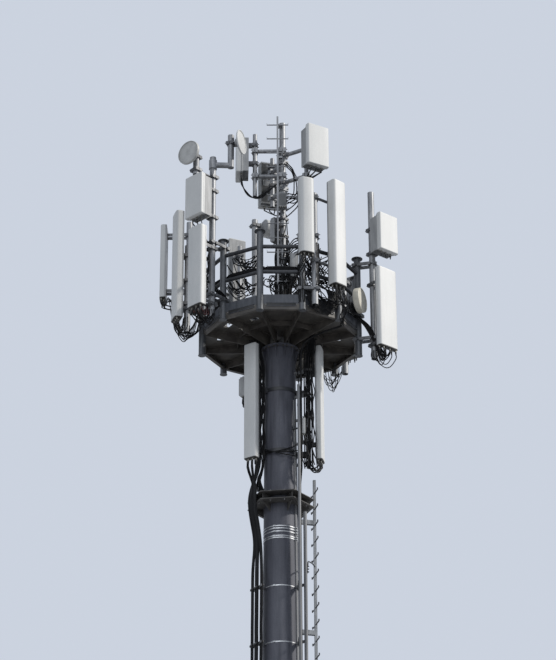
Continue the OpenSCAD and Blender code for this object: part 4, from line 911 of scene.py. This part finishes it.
# Row of feeders down the left of the pole: ten cables in three bundles, one on taller hangers, one on
# the bars and one behind them. They come from a hole of the floor and from the left slim antenna's plugs.
head_under, collar_face = 20.64, 0.5243
runs = []
for i in range(10):
    if i < 5:
        hole = facing((0, 0, 0), -89, 0)
        run = [hole @ Vector(((2 - i) * 0.03, -out, z)) for out, z in (
            (0.64, deck - 0.02), (0.64, head_under + 0.04), (0.54, head_under - 0.11))]
        held = [(0.39, head_under - 0.33), *[(0.37, head_under - 0.7 - 0.4 * k) for k in range(4)],
                (0.37, collar_mid + 0.9), (0.39, collar_mid + 0.64)]
    else:
        start = facing(slim_pipes[0], -34, deck - 2.565) @ Vector((
            (i - 7) * 0.04375, -0.09 - (0.042 if (i - 5) % 2 == 0 else 0.078), 0))
        run = [start, start - Vector((0, 0, 0.014)), start - Vector((0, 0, 0.12))]
        held = [(collar_face + 0.025, collar_mid + 0.34)]
    out = 0.026 if i < 3 else 0.0 if i < 7 else -0.036
    held += [(collar_face, collar_mid + 0.16), (collar_face, collar_mid - 0.16),
             (pole_r(collar_mid) + 0.145, collar_mid - 0.7)]
    held += [(pole_r(16.4 - k) + 0.14 + out, 16.4 - k) for k in range(16)]
    held += [(pole_r(1.2) + 0.155 + 0.4 * out, 1.15), (pole_r(0) + 0.25, 0.5), (pole_r(0) + 0.31, 0.2),
             (pole_r(0) + 0.315, 0.003)]
    runs.append(run + [facing((0, 0, 0), row_turn, z) @ Vector(((i - 4.5) * 0.034, -r, 0)) for r, z in held])
leads("left_feeders_shown", runs, 0.014, black_sheath, 0.006, 31.0, 0.09, ["left_feeders"])

# Leads of the mast: a thick bundle climbs from the floor, and bows go out to the box antennas at its head.
# Spare length is coiled and tied to the middle rail at the front.
side_box, front_box, back_box = mast_boxes
runs = []
for i in range(36):
    a = radians(10 * i + between(-9, 9))
    out = between(0.07, 0.135)
    top = chance.choice((1.1, 1.4, 1.7, 2.0, 2.2, 2.5))
    run = [(mast.x + 0.34 * cos(a), 0.30 * sin(a) - 0.05, 0.03),
           (mast.x + 0.26 * cos(a), 0.24 * sin(a), 0.10)]
    for k in range(1, 8):
        r = out + between(-0.02, 0.045)
        b = a + between(-0.35, 0.35)
        run.append((mast.x + r * cos(b), r * sin(b), top * k / 7))
    runs.append(path(*run, (mast.x + 0.06 * cos(a), 0.06 * sin(a), top + 0.06)))
for i in range(7):
    s = i * 0.035
    runs.append(path(
        (0.12, -0.05, 1.75 - s), (0.26, -0.12, 1.95 - s * 1.6), (0.40, -0.2, 1.9 - s * 1.5),
        (0.44, -0.2, 1.55 - s), (0.34, -0.14, 1.22 + s), (0.14, -0.08, 1.1 - s)))
    runs.append(path(
        (0.0, -0.07, 0.95 - s * 2), (-0.06, -0.2, 0.85 - s * 1.2), (-0.12, -0.24, 0.62 - s),
        (-0.05, -0.2, 0.38 + s), (0.01, -0.08, 0.25 + s)))
for i in range(3):
    s = 0.045 * i
    runs.append(path(
        (0.12, -0.06, 3.62 - s), (0.25, -0.13, 3.42 - s), (0.36 - s, -0.2, 3.05), (0.34 - s, -0.23, 2.82),
        (0.14, -0.26, 2.68 + s)))
    runs.append(path(
        (0.13, -0.26, 2.84 - 2 * s), (0.29, -0.28, 2.80 - 2 * s), (0.38, -0.30, 2.88 - s),
        (0.41 + s * 0.5, -0.31, 3.02), box_plug(front_box, thin_d, 1 - i)))
    runs.append(path(
        box_plug(front_box, thin_d, i - 1), (0.45 - s, -0.33, 2.98 - s), (0.34, -0.2, 2.80 - 2 * s),
        (0.13, -0.06, 2.72 - 3 * s)))
for i in (-1, 0, 1):
    runs.append(path(
        box_plug(side_box, thin_d, i), (-0.63, -0.02, 3.02 - 0.02 * i), (-0.48, -0.05, 2.86),
        (-0.30, -0.05, 2.92 + 0.03 * i), (-0.08, -0.06, 3.12), (0.06, -0.05, 3.22)))
    runs.append(path(
        box_plug(back_box, thin_d, i), (-0.1, 0.4, 2.75), (-0.02, 0.25, 2.66), (0.04, 0.06, 2.6)))
    runs.append(path(
        facing(mast, 95, deck + 1.18) @ Vector((0.08 * i, -0.192, -0.05)), (0.33, 0.02 * i, 1.0),
        (0.25, 0.03 * i, 0.85 + 0.06 * i), (0.12, 0.02, 0.72)))
for i in range(34):
    a = radians(360 / 34 * i * 5 + between(-15, 15))
    high, reach, drop = between(0.5, 1.25), between(0.17, 0.31), between(0.12, 0.42)
    turn = between(-0.7, 0.7)
    loop = []
    for k, r in enumerate((0.08, 0.65 * reach, reach, 0.9 * reach, 0.5 * reach, 0.09)):
        b = a + turn * k / 5
        up = high + 0.10 * (1 - abs(k - 1)) if k < 3 else high - drop * (k - 2) / 3
        loop.append((mast.x + r * cos(b), r * sin(b), up))
    runs.append(path(*loop))
leads("mast_leads", runs, 0.0105, black_sheath, 0.03, 2.0)

runs = []
for x, up, wide in ((-0.21, 0.42, 0.075), (-0.14, 0.50, 0.055), (0.31, 0.42, 0.11)):
    coil = []
    for k in range(45):
        a = k * tau / 14
        r = wide * (0.75 + 0.5 * chance.random())
        coil.append((x + r * cos(a), -1.31 + 0.012 * (k / 14 - 1.5), up + r * sin(a)))
    runs.append(path(*coil))
leads("spare_coils", runs, 0.0055, black_sheath, 0.02, 3.0)

# Leads of the left side: bows under the left antennas, and a tangle and a bundle at the rails.
# The bundle lies on the middle rail. Some leads of the nearest antenna have reddish-brown sheaths.
near_row, mid_row, far_row = left_rows
runs = []
for i in range(5):
    s = 0.03 * i
    runs.append(path(
        row_plug(far_row, i), (-1.98 + s, -0.38, 0.62 - s), (-1.90 + s, -0.42, 0.12 - s),
        (-1.77 + s, -0.46, -0.22 + 0.5 * s), (-1.67 + s, -0.48, -0.30 + s), (-1.60 + s, -0.50, -0.10 + s),
        (-1.45, -0.47, 0.12 + s), (-1.30, -0.42, 0.2 + s)))
    runs.append(path(
        row_plug(mid_row, i), (-1.80 + s, -0.60, -0.16 - s), (-1.70 + s, -0.58, -0.30 + s),
        (-1.52 + s, -0.55, -0.22 + s), (-1.42, -0.52, 0.02 + s), (-1.28, -0.45, 0.19)))
for i in range(6):
    s = 0.02 * i
    runs.append(path(
        row_plug(near_row, i), (-1.42 + 2 * s, -1.42 + s, -0.30 - s), (-1.24 + s, -1.28, -0.26 + s),
        (-1.16, -1.16, -0.08 + s), (-1.05, -1.06 + s, 0.10 + s), (-0.92, -0.92, 0.21)))
    tied = beside(out_spot(-44), radians(100 + 26 * i), 0.072)
    start = box_plug(left_box, pipe_d, i % 3 - 1)
    halfway = start * 0.5 + tied * 0.5
    runs.append(path(start, (halfway.x, halfway.y, 1.38 - s), *[
        (tied.x + between(-0.015, 0.02), tied.y + between(-0.015, 0.02), up)
        for up in (1.18, 0.95, 0.7, 0.48)], (-1.08 + s, -1.12, 0.3), (-0.9, -0.95, 0.2)))
for k in range(22):
    high = chance.choice((1.02, 0.55, 0.5))
    runs.append(bow(
        along_bay(left_bay, between(-0.36, 0.1), -0.03, high),
        along_bay(left_bay, between(-0.1, 0.34), -0.05, high - between(0.02, 0.3)), between(0.05, 0.24)))
leads("left_leads", runs, 0.0085, black_sheath, 0.03, 4.0)

runs = []
for k in range(6):
    run = []
    for bay in (-59, -29, 1):
        for along in (-0.355, -0.25, -0.12, 0.0, 0.12, 0.25, 0.355):
            inside = -0.094 if abs(along) > 0.3 else -0.02 if abs(along) > 0.2 else 0.0
            run.append(along_bay(bay, along, inside + 0.022 * (k % 2) - 0.006, 0.648 + 0.021 * (k // 2)))
    runs.append(run)
for k in range(12):
    high = 0.98 if k % 2 else 0.62
    start = between(-0.36, 0.0)
    end = along_bay(left_bay, start + between(0.15, 0.4), -0.14, high - between(0.0, 0.25))
    runs.append(bow(along_bay(left_bay, start, -0.12, high), end, between(0.06, 0.20)))
leads("rail_leads", runs, 0.0115, black_sheath, 0.012, 14.0)

red_sheath = coat("red_sheath", [(60, 18, 18), (95, 28, 26), (140, 45, 40)],
                  rough=(0.45, 0.6), cloud=(9, 9, 9))
runs = []
for i in range(8):
    s = 0.018 * i
    runs.append(path(
        row_plug(near_row, i % 6) + Vector((0.01, 0.01, 0.03)), (-1.50 + 2 * s, -1.35, -0.16 - s % 0.07),
        (-1.38 + s, -1.20, -0.12 + s), (-1.26 + s, -1.10, 0.0 + s), (-1.20, -1.12, 0.14)))
leads("red_leads", runs, 0.009, sheath_tree(red_sheath), 0.03, 5.0)

# Leads of the right side: wide bows over the toe board, a tangle between the rails and, outside, thick
# feeders. They come from the two slim antennas at the corner and the low one at the right.
runs = []
for k in range(12):
    s = 0.019 * k
    runs.append(bay_path(
        right_bay, (-0.36 + s, 0.05, 0.34), (-0.32 + s, 0.07, 0.10 + 0.2 * s),
        (-0.20 + 0.6 * s, 0.07, -0.10 + s), (0.02, 0.06, -0.145 + 1.3 * s), (0.20 - 0.5 * s, 0.07, -0.07 + s),
        (0.33 - s, 0.06, 0.16 + 0.3 * s), (0.30 - s, 0.03, 0.36)))
for k in range(44):
    a, b = between(-0.36, -0.05), between(0.0, 0.38)
    high, low = between(0.55, 1.25), between(0.12, 0.75)
    if k % 3 == 0:
        high, low = low, high
    runs.append(bow(
        along_bay(right_bay, a, between(-0.16, 0.0), high), along_bay(right_bay, b, between(-0.16, 0.0), low),
        between(-0.1, 0.22), between(-0.08, 0.08)))
slim_row, low_row = right_rows
for i in range(6):
    s = 0.025 * i
    end = plug_end(corner_panel, 0.30, 0.19, i)
    runs.append(bay_path(
        right_bay, end, end - Vector((0.0, 0.0, 0.14 + s)), (0.28 - 2 * s, 0.10, 0.02 + s),
        (0.1 - s, 0.05, 0.06 + s), (-0.05 - s, 0.0, 0.2 + s), (-0.1, -0.15, 0.2)))
    runs.append(path(
        end, end + Vector((0.07, 0.05, -0.10 - s)), (1.16 - s, -1.14, -0.02 - s),
        (1.12, -1.02 + s, -0.10 - s), (1.08, -0.96, -0.15)))
    a = radians(150 + 30 * i)
    side = Vector((0.074 * cos(a), 0.074 * sin(a), 0))
    runs.append([row_plug(slim_row, i), tall_post + side * 1.3 + Vector((0, 0, deck + 0.6 - s)), *[
        tall_post + side + Vector((between(-0.012, 0.012), 0, deck + up))
        for up in (0.45, 0.28, 0.12, -0.02)]])
    tied = beside(corner_pipe, a + 2.6, 0.072)
    runs.append(bay_path(
        right_bay, *[tied + Vector((0, 0, deck + up)) for up in (1.15, 0.95, 0.7, 0.5, 0.33)],
        (-0.18, -0.03, 0.16), (-0.14, -0.2, 0.05)))
for i in range(7):
    s = 0.02 * i
    runs.append(bay_path(
        far_bay, (-0.30 + s, 0.02, 0.5 - s), (-0.22 + s, 0.10, 0.22), (-0.10, 0.12, 0.05 + 2 * s),
        (0.05 + s, 0.10, 0.14), (0.18, 0.03, 0.30 - s)))
leads("right_leads", runs, 0.0085, black_sheath, 0.035, 6.0)

runs = []
for i in range(4):
    s = 0.026 * i
    runs.append(path(
        (1.20, -0.55 + s, 0.22), (1.38, -0.50 + s, 0.12 + s), (1.50 + s, -0.48, -0.02),
        (1.60 + s, -0.48, -0.22), (1.69 + s, -0.50, -0.44), (1.75 + s, -0.56, -0.68 + s),
        (1.80 + s, -0.62, -0.74 + s), row_plug(low_row, i)))
leads("thick_right_leads", runs, 0.015, black_sheath, 0.02, 7.0)

# Leads beside the pole: runs behind both slim antennas, slings round its front, and loops under the deck.
# The runs start just under the floor and hang down behind the two antennas.
runs = []
for i in range(8):
    x, y = -0.33 + 0.016 * (i % 4), -0.25 - 0.028 * (i // 4)
    runs.append(path(
        (-0.55 + 0.03 * i, -0.30, -0.20), (x - 0.05, y - 0.02, -0.45),
        *[(x + between(-0.02, 0.02), y + between(-0.02, 0.02), -0.7 - 0.24 * k) for k in range(9)],
        (x - 0.06, y + 0.04, -2.85), (-0.42 + 0.02 * i, -0.19, -3.05)))
for i in range(8):
    x, y = (0.45 + 0.028 * i, -0.31 + 0.03 * (i % 2)) if i < 6 else (0.33 + 0.03 * (i - 6), -0.21)
    run = [(0.52 + 0.02 * i, -0.36, -0.2), (x + 0.03, y, -0.36)]
    run += [(x + between(-0.03, 0.03), y + between(-0.03, 0.02), -0.55 - 0.22 * k) for k in range(9)]
    end = chance.choice((0.06, 0.11, -0.05))
    runs.append(path(*run, (x + end * 0.6, y - 0.03, -2.52), (x + end, y - 0.02, -2.6 - 0.04 * (i % 3))))
for k in range(3):
    sling = []
    for j in range(-4, 5):
        droop = 0.012 * (16 - j ** 2) / 2
        height = deck - 2.24 - 0.03 * k + 0.02 * j * (1 - k) - droop
        sling.append(spot(-2 + 15 * j, 0.325 + 0.012 * k) + Vector((0, 0, height)))
    runs.append(sling)
for i in (-1, 0, 1):
    start = small_unit @ Vector((i * 0.0225, -0.245, -0.05))
    runs.append(path(
        start, start - Vector((0, 0, 0.1)), (-0.62 + 0.02 * i, -0.32, -1.5), (-0.52, -0.3, -1.56 + 0.03 * i),
        (-0.40, -0.26, -1.48)))
leads("pole_leads", runs, 0.010, black_sheath, 0.035, 9.0)

runs = []
for k in range(9):
    left, right, low = 0.78 + 0.045 * (k % 4), 1.12 - 0.05 * (k // 3), -0.36 - 0.03 * ((k * 5) % 9)
    runs.append(path(
        (left, 0.98, -0.15), (left + 0.02, 1.0, low * 0.7), ((left * 2 + right) / 3, 0.98, low),
        ((left + right * 2) / 3, 0.96, low + 0.02), (right - 0.01, 0.92, low * 0.6), (right, 0.86, -0.15)))
leads("rear_leads", runs, 0.0065, black_sheath, 0.04, 11.0)

# Cable slots in the deck's edge: a dark rubber strip in a thin frame on the face of each bay.
# The frames are screwed on at both ends.
shape = bmesh.new()
slot_screws = []
for post_turn in post_turns:
    turn = post_turn + 15
    strip = facing(spot(turn, 1.3905), turn, deck - 0.045)
    block(shape, strip, (0.50, 0.006, 0.052), 0.0015, 0)
    for z in (-0.031, 0.031):
        block(shape, strip @ shift(0, -0.002, z), (0.52, 0.010, 0.010), 0.0015, 1)
    for x in (-0.265, 0.265):
        slot_screws.append((strip @ Vector((x, 0.0, 0)), spot(turn, 1.0), 0.5))
settle("edge_slots", shape, [rubber, rim_paint], "deck_steel")
scatter("edge_slot_screws", slot_screws, bolt, bolt_zinc, 19)
